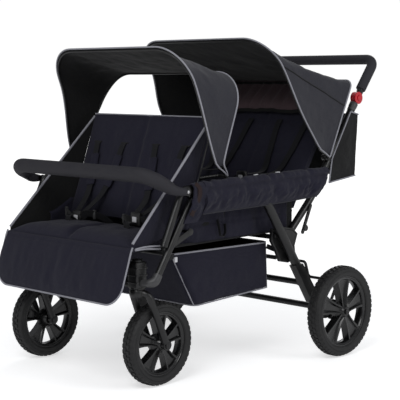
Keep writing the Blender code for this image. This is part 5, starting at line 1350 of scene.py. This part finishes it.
def front_side(reach, offset):
    """Side-view point up the front backrest, offset behind its middle plane."""
    return behind(FRONT_CREASE, FRONT_BACK_TOP, reach, offset)


def back_pad(crease, top, half_width, thickness, corner, cuts, seams):
    """Stuffed panel leaning from a crease: flat behind, crowned and sewn in front."""
    length = hypot(top[0] - crease[0], top[1] - crease[1])
    lean = atan2(top[1] - crease[1], top[0] - crease[0])
    clearance = 0.016

    def rule(u, v, w):
        reach = clearance + (length - clearance) * (v + 0.5)
        half = half_width - 0.004 * (1 - abs(2 * v) ** 2) * abs(2 * u) ** 8
        half -= corner_inset(length - reach, corner)
        x = 2 * u * half
        front = 0.5 - w
        depth = 0.30 + 0.70 * crown(u, v, 6) ** 0.7
        sewn = sum(share * groove((x if kind == "x" else reach) - place, width)
                   for kind, place, width, share in seams)
        fold = 0.0024 * wrinkle((x, reach, 0.0), 17.0, crease[0]) * crown(u, v, 4)
        depth = depth * (1 - min(0.6, sewn)) * thickness / 2 + fold
        offset = thickness / 2 - front * (thickness / 2 + depth)
        y = crease[0] + reach * cos(lean) + offset * sin(lean)
        z = crease[1] + reach * sin(lean) - offset * cos(lean)
        return at(x, (y, z))
    return moulded(cuts, rule)


CALF_TOP_Y = -0.8053
WING_X = 0.2705
WING_FRONT_Y = -0.803


class BuildFrontSeats(Operator):
    """Front cushion, backrest, its frame, wings and calf panel, with corded edges"""
    bl_idname = "stroller.front_seats"
    bl_label = "Front seats"

    def execute(self, context):
        self.cushion()
        seams = [("x", 0.0, 0.010, 0.55), ("x", 0.140, 0.012, 0.10), ("x", -0.140, 0.012, 0.10),
                 ("z", 0.150, 0.010, 0.25)]
        mesh = back_pad(FRONT_CREASE, FRONT_BACK_TOP, 0.2690, 0.026, 0.014, (72, 46, 1), seams)
        stuffed("front_backrest_pad", mesh, "front_backrest", "front_backrest")
        path = [at(0.2695 * (1 - 2 * i / 60), front_side(0.3600, -0.003)) for i in range(61)]
        corded("front_backrest_piping", path, body="front_backrest")
        self.frame()
        self.calf()
        for side, s in SIDES:
            self.wing(side, s)
        return {"FINISHED"}

    def cushion(self):
        def rule(u, v, w):
            share = v + 0.5
            y = SEAT_FRONT_Y + (SEAT_REAR_Y - SEAT_FRONT_Y) * share
            half = FRONT_SEAT_HALF - 0.0416 * share
            x = 2 * u * half
            up = w + 0.5
            dip = 0.55 * groove(x, 0.012)
            top = 0.011 + 0.036 * crown(u, v, 6) ** 0.8 * (1 - dip)
            top += 0.0026 * wrinkle((x, y, 0.0), 15.0, 8.0) * crown(u, v, 4)
            return at(x, (y, SEAT_BASE_Z + top * up))
        stuffed("front_cushion_pad", moulded((72, 30, 1), rule), "chassis",
                "front_seat_cushion")

    def frame(self):
        foot = copied("front_backrest_frame", 0.0004)
        add_piece("front_back_frame_finish", foot, "frame paint", "front_backrest",
                  "front_backrest_frame", smooth=40)

    def calf(self):
        top = SEAT_BASE_Z + 0.011
        hem = CALF_HEM

        def rule(u, v, w):
            share = 0.5 - v
            y, z = between((CALF_TOP_Y, top), hem, share)
            rest = (1 - share) * (top - hem[1])
            half = FRONT_SEAT_HALF - 0.0026 * share - corner_inset(rest, 0.060)
            x = 2 * u * half
            front = 0.5 - w
            thick = 0.010 * (0.35 + 0.65 * crown(u, v, 6)) + 0.009 * sin(pi * share)
            thick += 0.0030 * wrinkle((x * 1.6, z * 0.5, 0.0), 14.0, 5.0) * crown(u, v, 4)
            thick -= 0.0030 * groove(share - 0.075, 0.022)
            return at(x, (y - thick * front, z))
        stuffed("calf_pad", moulded((84, 46, 1), rule), "chassis", "calf_panel")
        half = [at(0.2985, (-0.8080, top + 0.004))]
        for i in range(1, 9):
            share = i / 8 * 0.60
            y, z = between((CALF_TOP_Y, top), hem, share)
            half.append(at(0.2985 - 0.0026 * share, (y - 0.006, z)))
        for i in range(13):
            turn = pi / 2 * i / 12
            rest = 0.060 * (1 - sin(turn))
            x = 0.2960 - 0.060 * (1 - cos(turn))
            y, z = between((CALF_TOP_Y, top), hem, 1 - rest / (top - hem[1]))
            half.append(at(x, (y - 0.005, z - 0.001)))
        corded("calf_piping", both_halves(half), 0.0027)

    def wing(self, side, s):
        low = front_side(0.004, 0.0)
        high = front_side(0.352, -0.002)
        base = SEAT_BASE_Z + 0.0116

        def rule(u, v):
            front = (WING_FRONT_Y, base - 0.010 + 0.0225 * v)
            y, z = between(between(low, high, v), front, u)
            x = WING_X + 0.022 * u
            x += 0.0030 * wrinkle((0.0, y, z), 15.0, 3.0 + s) * sin(pi * u) * sin(pi * v)
            return at(s * x, (y, z))
        mesh = outward(spread(40, 34, rule), at(0.0, (-0.62, 0.50)))
        panel = hung_sheet(f"{side}_wing_cloth", mesh, "seat cloth", None,
                           f"{side}_front_wing", "lining cloth")
        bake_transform(panel)
        tip = (WING_FRONT_Y, base + 0.0125)
        path = [at(s * (WING_X + 0.022 * i / 40), between(high, tip, i / 40)) for i in range(41)]
        edge = corded(f"{side}_wing_piping", path, 0.0040, body=None)
        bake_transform(edge)


# Harnesses

def belt(path, width, thick, up=(0, 0, 1), across=None):
    """Flat webbing along a path; across gives the direction of its width."""
    widths = []
    for i, place in enumerate(path):
        ahead = path[min(i + 1, len(path) - 1)] - path[max(i - 1, 0)]
        wide = Vector(across) if across else ahead.cross(Vector(up))
        wide = (wide - ahead * wide.dot(ahead) / ahead.length_squared).normalized()
        widths.append((wide, ahead.cross(wide).normalized()))

    def rule(u, v, w):
        walk = (u + 0.5) * (len(path) - 1)
        index = min(int(walk), len(path) - 2)
        share = walk - index
        place = path[index].lerp(path[index + 1], share)
        wide = widths[index][0].lerp(widths[index + 1][0], share)
        deep = widths[index][1].lerp(widths[index + 1][1], share)
        return place + wide * (v * width) + deep * (w * thick)
    return moulded((3 * (len(path) - 1), 2, 0), rule)


def smooth_path(points, count=16):
    """Points along a soft curve through a few places."""
    points = [Vector(p) for p in points]
    path = []
    for i in range(len(points) - 1):
        a, b = points[max(i - 1, 0)], points[i]
        c, d = points[i + 1], points[min(i + 2, len(points) - 1)]
        for k in range(count):
            t = k / count
            path.append(0.5 * (2 * b + (c - a) * t + (2 * a - 5 * b + 4 * c - d) * t * t
                               + (3 * b - a - 3 * c + d) * t ** 3))
    path.append(points[-1])
    return path


# A harness: its back, distance from the middle plane, buckle (shift, y, z), shoulder belt
# (distance, reach up the back, offset), lap belt (distance, y, z), crotch belt (y, z) and how
# far its end is from the buckle, and where the shoulder belt starts to follow the back
HARNESSES = {
    "front": {"back": (FRONT_CREASE, FRONT_BACK_TOP), "middle": 0.140,
              "buckle": {"left": (0.004, -0.652, 0.487), "right": (0.004, -0.652, 0.470)},
              "shoulder": ((0.066, 0.262, -0.013), (0.062, 0.245, -0.0185),
                           (0.050, 0.160, -0.0200), (0.034, 0.080, -0.0300)),
              "lap": ((0.108, -0.600, 0.452), (0.088, -0.622, 0.474), (0.050, -0.648, 0.486)),
              "crotch": ((-0.690, 0.455), (-0.684, 0.478)), "crotch_end": -0.006,
              "blend": ((-0.64, 0.47), (-0.55, 0.56))},
    "rear": {"back": (REAR_CREASE, REAR_BACK_TOP), "middle": 0.130,
             "buckle": {"left": (0.0, -0.160, 0.585), "right": (0.0, -0.160, 0.585)},
             "shoulder": ((0.062, 0.340, -0.016), (0.060, 0.300, -0.021),
                          (0.046, 0.200, -0.021), (0.030, 0.120, -0.036)),
             "lap": ((0.105, -0.090, 0.478), (0.090, -0.115, 0.520), (0.050, -0.150, 0.560)),
             "crotch": ((-0.190, 0.468), (-0.184, 0.530)), "crotch_end": -0.004,
             "blend": ((-0.14, 0.56), (-0.03, 0.66))},
}
SLIDE_HALF = Vector((0.005, 0.004, 0.015))
BUCKLE_HALF = Vector((0.021, 0.007, 0.022))


class BuildHarnesses(Operator):
    """Five-point harnesses of all four seats: webbing, shoulder pads, buckles and slides"""
    bl_idname = "stroller.harnesses"
    bl_label = "Harnesses"

    def execute(self, context):
        for side, s in SIDES:
            for row, plan in HARNESSES.items():
                self.harness(side, s, row, plan)
        return {"FINISHED"}

    def harness(self, side, s, row, plan):
        """One seat's harness."""
        middle = s * plan["middle"]
        shift, *place = plan["buckle"][side]
        buckle = at(middle + shift, place)
        follow = [at(0.0, place) for place in plan["blend"]]
        for edge in (1, -1):
            name = f"{side}_{row}_{'outer' if edge == s else 'inner'}"
            path = [at(middle + edge * x, behind(*plan["back"], reach, offset))
                    for x, reach, offset in plan["shoulder"]]
            path = smooth_path(path + [buckle + Vector((edge * 0.014, 0.008, 0.012))], 8)
            shoulder = strap(f"{name}_belt", path, None)
            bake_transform(shoulder)
            if row == "front":
                self.pad(name, path[11:22], middle + edge * plan["shoulder"][0][0])
            lap = [at(middle + edge * x, (y, z)) for x, y, z in plan["lap"]]
            lap = smooth_path(lap + [buckle + Vector((edge * 0.018, 0.0, -0.002))], 8)
            strap(f"{name}_lap_belt", lap, across=(0, -0.5, 1))
            if row == "front":
                slide = block(lap[12] - SLIDE_HALF, lap[12] + SLIDE_HALF, 0.002)
                add_piece(f"{name}_slide", slide, "grey casting")
        crotch = [at(middle, place) for place in plan["crotch"]]
        crotch.append(buckle + Vector((0.0, plan["crotch_end"], -0.010)))
        strap(f"{side}_{row}_crotch_belt", smooth_path(crotch, 8))
        self.buckle(f"{side}_{row}", buckle)

    def pad(self, name, path, x):
        """Shoulder pad on the belt, and the slit in the back that the belt comes out of."""
        cover = add_piece(f"{name}_shoulder_pad", belt(path, 0.038, 0.007, across=(1, 0, 0)),
                          "seat cloth", "front_backrest")
        smoothed(cover, 1)
        place = front_side(0.262, -0.0128)
        slit = belt([at(x - 0.018, place), at(x + 0.018, place)], 0.0075, 0.0022, up=(0, -0.4, 1))
        add_piece(f"{name}_slit", slit, "lining cloth", "front_backrest")

    def buckle(self, name, place):
        add_piece(f"{name}_buckle", block(place - BUCKLE_HALF, place + BUCKLE_HALF, 0.0055, 3),
                  "black plastic")
        # The release button is a real part; its white is painted highlight, standing for the glints
        # on the buckle.
        button = block(place + Vector((-0.009, -0.0095, -0.010)),
                       place + Vector((0.009, -0.0060, 0.008)), 0.0014)
        add_piece(f"{name}_buckle_button", button, "white plastic")


# Rear seats, tub and side wraps

class BuildRearSeats(Operator):
    """Rear cushion and backrest, and the cloth tub that both rows hang in"""
    bl_idname = "stroller.rear_seats"
    bl_label = "Rear seats"

    def execute(self, context):
        seams = [("x", 0.0, 0.008, 0.22), ("z", 0.215, 0.008, 0.28), ("z", 0.330, 0.008, 0.20)]
        mesh = back_pad(REAR_CREASE, REAR_BACK_TOP, 0.2550, 0.028, 0.050, (72, 60, 1), seams)
        stuffed("rear_backrest_pad", mesh, "rear_backrest", "rear_backrest")
        low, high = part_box("rear_seat_cushion")

        def rule(u, v, w):
            up = w + 0.5
            x = u * (high[0] - low[0])
            y = (low[1] + high[1]) / 2 + v * (high[1] - low[1])
            top = (high[2] - low[2]) * (0.62 + 0.38 * crown(u, v, 6) ** 0.8)
            top *= 1 - 0.25 * groove(x, 0.012)
            top += 0.0024 * wrinkle((x, y, 0.0), 15.0, 9.0) * crown(u, v, 4)
            return Vector((x, y, low[2] + top * up))
        stuffed("rear_cushion_pad", moulded((60, 30, 2), rule), "chassis",
                "rear_seat_cushion")
        add_piece("tub_shell", copied("seat_tub", 0.0006), "lining cloth", node="seat_tub",
                  smooth=40)
        for side, s in SIDES:
            self.skirt(side, s)
        return {"FINISHED"}

    def skirt(self, side, s):
        """Cloth side of the tub, hanging from the side wrap to the floor of the seats."""
        def rule(u, v):
            y = -0.655 + 0.565 * u
            low = 0.409 + 0.006 * u
            high = 0.560 - 0.070 * smooth_step(0.22, 0.0, u)
            z = high + (low - high) * v
            x = 0.2990 - 0.0285 * smooth_step(0.0, 0.25, v) - 0.002 * v
            x += 0.0045 * wrinkle((0.0, 1.4 * y, 0.6 * z), 13.0, 7.0 + s) * sin(pi * v) ** 0.5
            for seam in (0.150, 0.470):
                x -= 0.0030 * groove(u - seam, 0.007)
            x -= 0.0025 * groove(v - 0.62, 0.03)
            return at(s * x, (y, z))
        mesh = outward(spread(110, 30, rule), at(0.0, (-0.37, 0.49)))
        hung_sheet(f"{side}_skirt", mesh, "seat cloth", "chassis")
        path = [at(s * 0.2695, between((-0.655, 0.409), (-0.090, 0.415), i / 40))
                for i in range(41)]
        corded(f"{side}_skirt_binding", path, 0.0024, "webbing")
        loop = smooth_path([at(s * 0.2740, (-0.430, 0.478)), at(s * 0.2800, (-0.428, 0.452)),
                            at(s * 0.2820, (-0.424, 0.428)), at(s * 0.2800, (-0.410, 0.424)),
                            at(s * 0.2790, (-0.400, 0.436)), at(s * 0.2740, (-0.396, 0.462))], 6)
        strap(f"{side}_skirt_loop", loop, width=0.010, thick=0.0016)


WRAP_X = 0.3325
WRAP_ENDS = (-0.560, 0.028)
# Where a tie draws the wrap in, and how deep
WRAP_GATHERS = ((-0.525, 0.9), (-0.385, 1.0), (-0.262, 1.2), (-0.196, 0.7), (-0.070, 0.8))


class BuildSideWraps(Operator):
    """Padded cloth over the side rails, gathered at its ties, with a corded lower edge"""
    bl_idname = "stroller.side_wraps"
    bl_label = "Side wraps"

    def execute(self, context):
        for side, s in SIDES:
            self.wrap(side, s)
        return {"FINISHED"}

    def wrap(self, side, s):
        start, end = WRAP_ENDS

        def section(y):
            """Height of the rail, and how far the cloth hangs below it."""
            return rail_height(y), 0.078 - 0.004 * smooth_step(-0.30, 0.02, y)

        def rule(u, v, w):
            y = start + (end - start) * (u + 0.5)
            rail, drop = section(y)
            ring = v + 0.5
            cinch = sum(depth * groove(y - g - 0.050 * ring ** 2, 0.007 + 0.016 * ring)
                        for g, depth in WRAP_GATHERS)
            folds = wrinkle((0.0, 1.6 * y + 0.05 * ring, 0.16 * ring), 15.0, 6.0 + s)
            puff = 1.0 - 0.60 * cinch + 0.75 * folds
            outer = w < 0
            if ring < 0.34:
                turn = pi * (1 - ring / 0.34)
                radius = (0.0160 + 0.0042 * puff - 0.0030 * cinch) if outer else 0.0115
                x = WRAP_X + radius * cos(turn)
                z = rail - 0.001 + radius * sin(turn)
            else:
                fall = (ring - 0.34) / 0.66
                x = WRAP_X + 0.0175 - 0.013 * fall ** 2
                bulge = 0.0105 * sin(pi * fall) * puff - 0.0045 * groove(fall - 0.10, 0.10)
                x += bulge if outer else -0.006
                z = rail - 0.001 - drop * fall
                y -= 0.046 * fall * smooth_step(0.20, 0.50, u)
            return at(s * x, (y, z))
        mesh = moulded((130, 34, 0), rule)
        stuffed(f"{side}_wrap_pad", mesh, "chassis", f"{side}_side_wrap")
        self.flap(side, s)
        self.seat_edge(side, s)
        path = []
        for i in range(61):
            y = start + (end - start) * i / 60
            rail, drop = section(y)
            y -= 0.046 * smooth_step(42, 60, i)
            path.append(at(s * 0.3370, (y, rail - 0.001 - drop)))
        corded(f"{side}_wrap_piping", path, 0.0019, "canopy cloth")
        # Small white blocks on the top of the wrap: painted highlights where the padded roll
        # catches the light.
        for y in (-0.305, -0.200):
            rail, _ = section(y)
            painted_glint = block(at(s * 0.318, (y - 0.008, rail + 0.0155)),
                        at(s * 0.326, (y + 0.008, rail + 0.0205)), 0.0015)
            add_piece(f"{side}_wrap_glint_{round(-1000 * y)}", painted_glint, "white plastic")

    def seat_edge(self, side, s):
        """Two corded edges at the side of the front seat's floor."""
        for label, drop in (("upper", 0.0), ("lower", 0.009)):
            path = smooth_path([at(s * 0.3010, (-0.800, 0.4250 - 0.3 * drop)),
                                at(s * 0.3015, (-0.760, 0.4285 - 0.7 * drop)),
                                at(s * 0.3000, (-0.700, 0.4250 - drop))], 6)
            corded(f"{side}_seat_edge_{label}_piping", path)

    def flap(self, side, s):
        """Folded front end of the side wrap, which hangs over the front leg."""
        def rule(u, v, w):
            y = -0.606 + 0.058 * (u + 0.5)
            ring = v + 0.5
            rail = rail_height(y)
            outer = w < 0
            if ring < 0.30:
                turn = pi * (1 - ring / 0.30)
                radius = 0.0185 if outer else 0.0135
                x = WRAP_X + radius * cos(turn)
                z = rail - 0.001 + radius * sin(turn)
            else:
                fall = (ring - 0.30) / 0.70
                x = WRAP_X + 0.0185 - 0.012 * fall ** 1.5
                fold = wrinkle((0, y, 0.1 * fall), 24.0, s)
                x += 0.0055 * sin(pi * fall) * (1 + 1.4 * fold) - (0.0 if outer else 0.005)
                z = rail - 0.001 - 0.100 * fall
                y -= 0.034 * fall
            return at(s * x, (y, z))
        stuffed(f"{side}_wrap_flap", moulded((14, 30, 0), rule))
        path = smooth_path([at(s * 0.3440, (-0.598, 0.604)), at(s * 0.3520, (-0.588, 0.590)),
                            at(s * 0.3545, (-0.592, 0.566)), at(s * 0.3530, (-0.606, 0.540)),
                            at(s * 0.3510, (-0.622, 0.512))], 6)
        add_piece(f"{side}_wrap_fold", belt(path, 0.015, 0.0045, across=(0, 1, 0.2)),
                  "basket lining")


# Basket and pocket

BASKET_HALF_WIDTH = 0.265
BASKET_TOP = ((-0.622, 0.386), (-0.178, 0.380))
BASKET_LOW = ((-0.522, 0.216), (-0.172, 0.232))


def basket_place(x_share, s_share, height):
    """Place on the basket: across from -1 to 1, front to rear from 0 to 1, rim height 1."""
    front, rear = (between(low, high, height) for low, high in zip(BASKET_LOW, BASKET_TOP))
    return at(BASKET_HALF_WIDTH * x_share, between(front, rear, s_share))


def around(turn):
    """Place on a rounded rectangle, (across, front to rear), for a turn from 0 to 1."""
    c, s = cos(2 * pi * turn), sin(2 * pi * turn)
    edge = max(abs(c), abs(s))
    share = (min(abs(c), abs(s)) / edge - 0.90) / 0.10
    near, far = 1.0, min(abs(c), abs(s)) / edge
    if share > 0:
        near = 0.90 + 0.10 * cos(share * pi / 4)
        far = 0.90 + 0.10 * sin(share * pi / 4)
    across, length = (near, far) if abs(c) > abs(s) else (far, near)
    return across * (1 if c > 0 else -1), 0.5 + 0.5 * length * (1 if s > 0 else -1)


class BuildBasket(Operator):
    """Cloth basket with corded edges, hung on straps from the legs and the gussets"""
    bl_idname = "stroller.basket"
    bl_label = "Basket"

    def execute(self, context):
        def rule(u, v):
            across, length = around(u)
            wall = min(1.0, v / 0.62)
            floor = max(0.0, (v - 0.62) / 0.38)
            place = basket_place(across * (1 - floor), length, 1 - wall)
            bulge = sin(pi * wall) * 0.004 if floor == 0 else 0.0
            bulge += 0.0040 * wrinkle(place, 11.0, 12.0) * sin(pi * min(1.0, v / 0.9))
            place.x += bulge * across
            place.z -= 0.012 * sin(pi * floor / 2) * sin(pi * length)
            return place
        mesh = outward(spread(240, 30, rule), at(0.0, (-0.38, 0.31)))
        hung_sheet("basket_cloth", mesh, "seat cloth", "chassis",
                   "basket",
                   "basket lining")
        rim = [basket_place(*around(i / 240), 1.0) + Vector((0, 0, 0.001)) for i in range(240)]
        corded("basket_rim_piping", rim, 0.0030, closed=True)
        base = [basket_place(*around(i / 240), 0.0) for i in range(240)]
        corded("basket_base_piping", base, 0.0024, closed=True)
        for side, s in SIDES:
            for end, turn in (("front", -0.125 if s > 0 else 0.625),
                              ("rear", 0.125 if s > 0 else 0.375)):
                path = [basket_place(*around(turn), h / 12) for h in range(13)]
                corded(f"{side}_basket_{end}_piping", path, 0.0024)
            front = smooth_path([basket_place(s, 0.02, 0.97), at(s * 0.290, (-0.668, 0.381)),
                                 at(s * 0.3135, (-0.712, 0.376))], 8)
            rear = smooth_path([basket_place(s, 0.98, 0.92), at(s * 0.280, (-0.160, 0.356)),
                                at(s * 0.2985, (-0.150, 0.355))], 8)
            for end, path in (("front", front), ("rear", rear)):
                strap(f"{side}_basket_{end}_strap", path, width=0.016, thick=0.0022,
                      across=(0, 0, 1))
            clip = block(at(s * 0.3090, (-0.655, 0.372)), at(s * 0.3150, (-0.643, 0.388)), 0.0016)
            add_piece(f"{side}_basket_clip", clip, "white plastic")
        return {"FINISHED"}


POCKET_HALF_WIDTH = 0.2993
POCKET_BACK = ((0.238, 0.578), (0.252, 0.790))
POCKET_SIDE = ((0.218, 0.800), (0.110, 0.650), (0.092, 0.561))


class BuildPocket(Operator):
    """Cloth pocket behind the push tubes, with corded edges"""
    bl_idname = "stroller.pocket"
    bl_label = "Rear pocket"

    def execute(self, context):
        low, high = POCKET_BACK

        def forward(v):
            """How far forward the side panels reach at a height from 0 to 1."""
            z = low[1] + (high[1] - low[1]) * v
            top, middle, base = POCKET_SIDE
            start, end = (middle, top) if z > middle[1] else (base, middle)
            return between(start, end, (z - start[1]) / (end[1] - start[1]))[0]

        def rule(u, v):
            back = between(low, high, v)
            reach = 0.18
            if u < reach or u > 1 - reach:
                s = 1 if u < reach else -1
                share = (u if u < reach else 1 - u) / reach
                y = forward(v) + (back[0] - forward(v)) * share
                z = back[1] - 0.017 * (1 - share) * (1 - v) + 0.010 * (1 - share) * v
                x = POCKET_HALF_WIDTH + 0.0030 * wrinkle((0, y, z), 15.0, 3.0 + s) * sin(pi * share)
                return at(s * x, (y, z))
            share = (u - reach) / (1 - 2 * reach)
            x = POCKET_HALF_WIDTH * (1 - 2 * share)
            sag = 0.005 * sin(pi * share) + 0.004 * wrinkle((x, 0, back[1]), 12.0, 2.0)
            return at(x, (back[0] + sag * sin(pi * v), back[1]))
        mesh = outward(spread(150, 30, rule), at(0.0, (0.10, 0.69)))
        hung_sheet("pocket_cloth", mesh, "pocket cloth", "push_frame",
                   "rear_pocket", "lining cloth")
        for label, v in (("top", 1.0), ("base", 0.0)):
            path = [rule(i / 150, v) for i in range(151)]
            for place in path:
                if abs(place.x) > 0.29:
                    place.x += 0.0014 if place.x > 0 else -0.0014
            corded(f"pocket_{label}_piping", path, body="push_frame")
        for side, s in SIDES:
            u = 0.0 if s > 0 else 1.0
            path = [rule(u, i / 30) for i in range(31)]
            corded(f"{side}_pocket_piping", path, body="push_frame")
        return {"FINISHED"}


# Stage

FLOOR_FADE = (1.1, 3.2)
LAMPS = (("key light", (1.6, -3.4, 3.6), 2.6, 72.0), ("side light", (4.2, 0.8, 2.6), 2.4, 46.0),
         ("rear light", (-2.4, 3.4, 3.0), 2.6, 32.0))
LAMP_AIM = Vector((0, 0, 0.45))
# The photograph's camera, solved from the wheels, the handle and the canopies
CAMERA_PLACE = (2.7575, -2.7985, 0.9138)
CAMERA_TURN = 44.457
CAMERA_PITCH = 5.946
CAMERA_LENS = 104.96
SENSOR_WIDTH = 36.0


class BuildStage(Operator):
    """Pale floor, white backdrop, soft lights and the photograph's camera"""
    bl_idname = "stroller.stage"
    bl_label = "Stage"

    def execute(self, context):
        scene = context.scene
        scene.view_settings.view_transform = "Standard"
        self.floor(scene)
        self.world(scene)
        self.lights()
        self.camera(scene)
        return {"FINISHED"}

    def floor(self, scene):
        bm = bmesh.new()
        bmesh.ops.create_grid(bm, x_segments=8, y_segments=8, size=24)
        mesh = as_mesh(bm)
        mesh.name = "floor"
        material, tree, shader = start_material("floor")
        shader.inputs["Roughness"].default_value = 0.85
        shader.inputs["Specular IOR Level"].default_value = 0.1
        place = add_node(tree, "ShaderNodeTexCoord").outputs["Object"]
        reach = add_node(tree, "ShaderNodeVectorMath", {0: place}, operation="LENGTH")
        far = ramp(tree, reach.outputs["Value"], *FLOOR_FADE)
        pale = (*scene.stroller_colours.floor, 1.0)
        tree.links.new(mixed(tree, far, pale, (0.0, 0.0, 0.0, 1.0)), shader.inputs["Base Color"])
        shader.inputs["Emission Color"].default_value = (1.0, 1.0, 1.0, 1.0)
        seen = add_node(tree, "ShaderNodeLightPath").outputs["Is Camera Ray"]
        glow = maths(tree, "ADD", 0.14, maths(tree, "MULTIPLY", seen, 0.42))
        tree.links.new(maths(tree, "ADD", glow, maths(tree, "MULTIPLY", far, 0.60)),
                       shader.inputs["Emission Strength"])
        mesh.materials.append(material)
        floor = bpy.data.objects.new("floor", mesh)
        scene.collection.objects.link(floor)

    def world(self, scene):
        world = bpy.data.worlds.new("studio")
        scene.world = world
        world.use_nodes = True
        tree = world.node_tree
        shade = tree.nodes["Background"]
        shown = add_node(tree, "ShaderNodeLightPath").outputs["Is Camera Ray"]
        tint = mixed(tree, shown, (0.80, 0.82, 0.85, 1.0), (1.0, 1.0, 1.0, 1.0))
        tree.links.new(tint, shade.inputs["Color"])
        tree.links.new(maths(tree, "ADD", 0.38, maths(tree, "MULTIPLY", shown, 0.64)),
                       shade.inputs["Strength"])

    def lights(self):
        for name, place, size, power in LAMPS:
            lamp = bpy.data.lights.new(name, "AREA")
            lamp.shape = "DISK"
            lamp.size = size
            lamp.energy = power
            holder = bpy.data.objects.new(name, lamp)
            holder.location = place
            aim = LAMP_AIM - Vector(place)
            holder.rotation_euler = aim.to_track_quat("-Z", "Y").to_euler()
            bpy.context.scene.collection.objects.link(holder)

    def camera(self, scene):
        azimuth, pitch = radians(CAMERA_TURN), radians(CAMERA_PITCH)
        back = Vector((sin(azimuth) * cos(pitch), -cos(azimuth) * cos(pitch), sin(pitch)))
        lens = bpy.data.cameras.new("photograph")
        lens.lens = CAMERA_LENS
        lens.sensor_width = SENSOR_WIDTH
        eye = bpy.data.objects.new("photograph", lens)
        eye.location = CAMERA_PLACE
        eye.rotation_euler = (-back).to_track_quat("-Z", "Y").to_euler()
        scene.collection.objects.link(eye)
        scene.camera = eye


# The add-on

OPERATORS = (BuildWheels, BuildForks, BuildSideFrames, BuildCrossMembers, BuildPushFrame,
             BuildHandle, BuildBrake, BuildBumper, BuildFrontCanopy, BuildRearCanopy,
             BuildFrontSeats, BuildRearSeats, BuildSideWraps, BuildHarnesses, BuildBasket,
             BuildPocket, BuildStage)


class StrollerPanel(Panel):
    """The stroller's pieces, with their colours and sizes"""
    bl_idname = "VIEW3D_PT_stroller"
    bl_label = "Four-seat stroller"
    bl_space_type = "VIEW_3D"
    bl_region_type = "UI"
    bl_category = "Stroller"

    def draw(self, context):
        layout = self.layout
        for group in (context.scene.stroller_colours, context.scene.stroller_sizes):
            box = layout.box()
            for name in group.bl_rna.properties.keys():
                if name not in {"rna_type", "name"}:
                    box.prop(group, name)
        column = layout.column(align=True)
        for operator in OPERATORS:
            column.operator(operator.bl_idname)


CLASSES = (StrollerColours, StrollerSizes, *OPERATORS, StrollerPanel)


def register():
    for cls in CLASSES:
        bpy.utils.register_class(cls)
    bpy.types.Scene.stroller_colours = PointerProperty(type=StrollerColours)
    bpy.types.Scene.stroller_sizes = PointerProperty(type=StrollerSizes)


def unregister():
    del bpy.types.Scene.stroller_sizes
    del bpy.types.Scene.stroller_colours
    for cls in reversed(CLASSES):
        bpy.utils.unregister_class(cls)


def main():
    register()
    for operator in OPERATORS:
        group, name = operator.bl_idname.split(".")
        getattr(getattr(bpy.ops, group), name)()


if __name__ == "__main__":
    main()
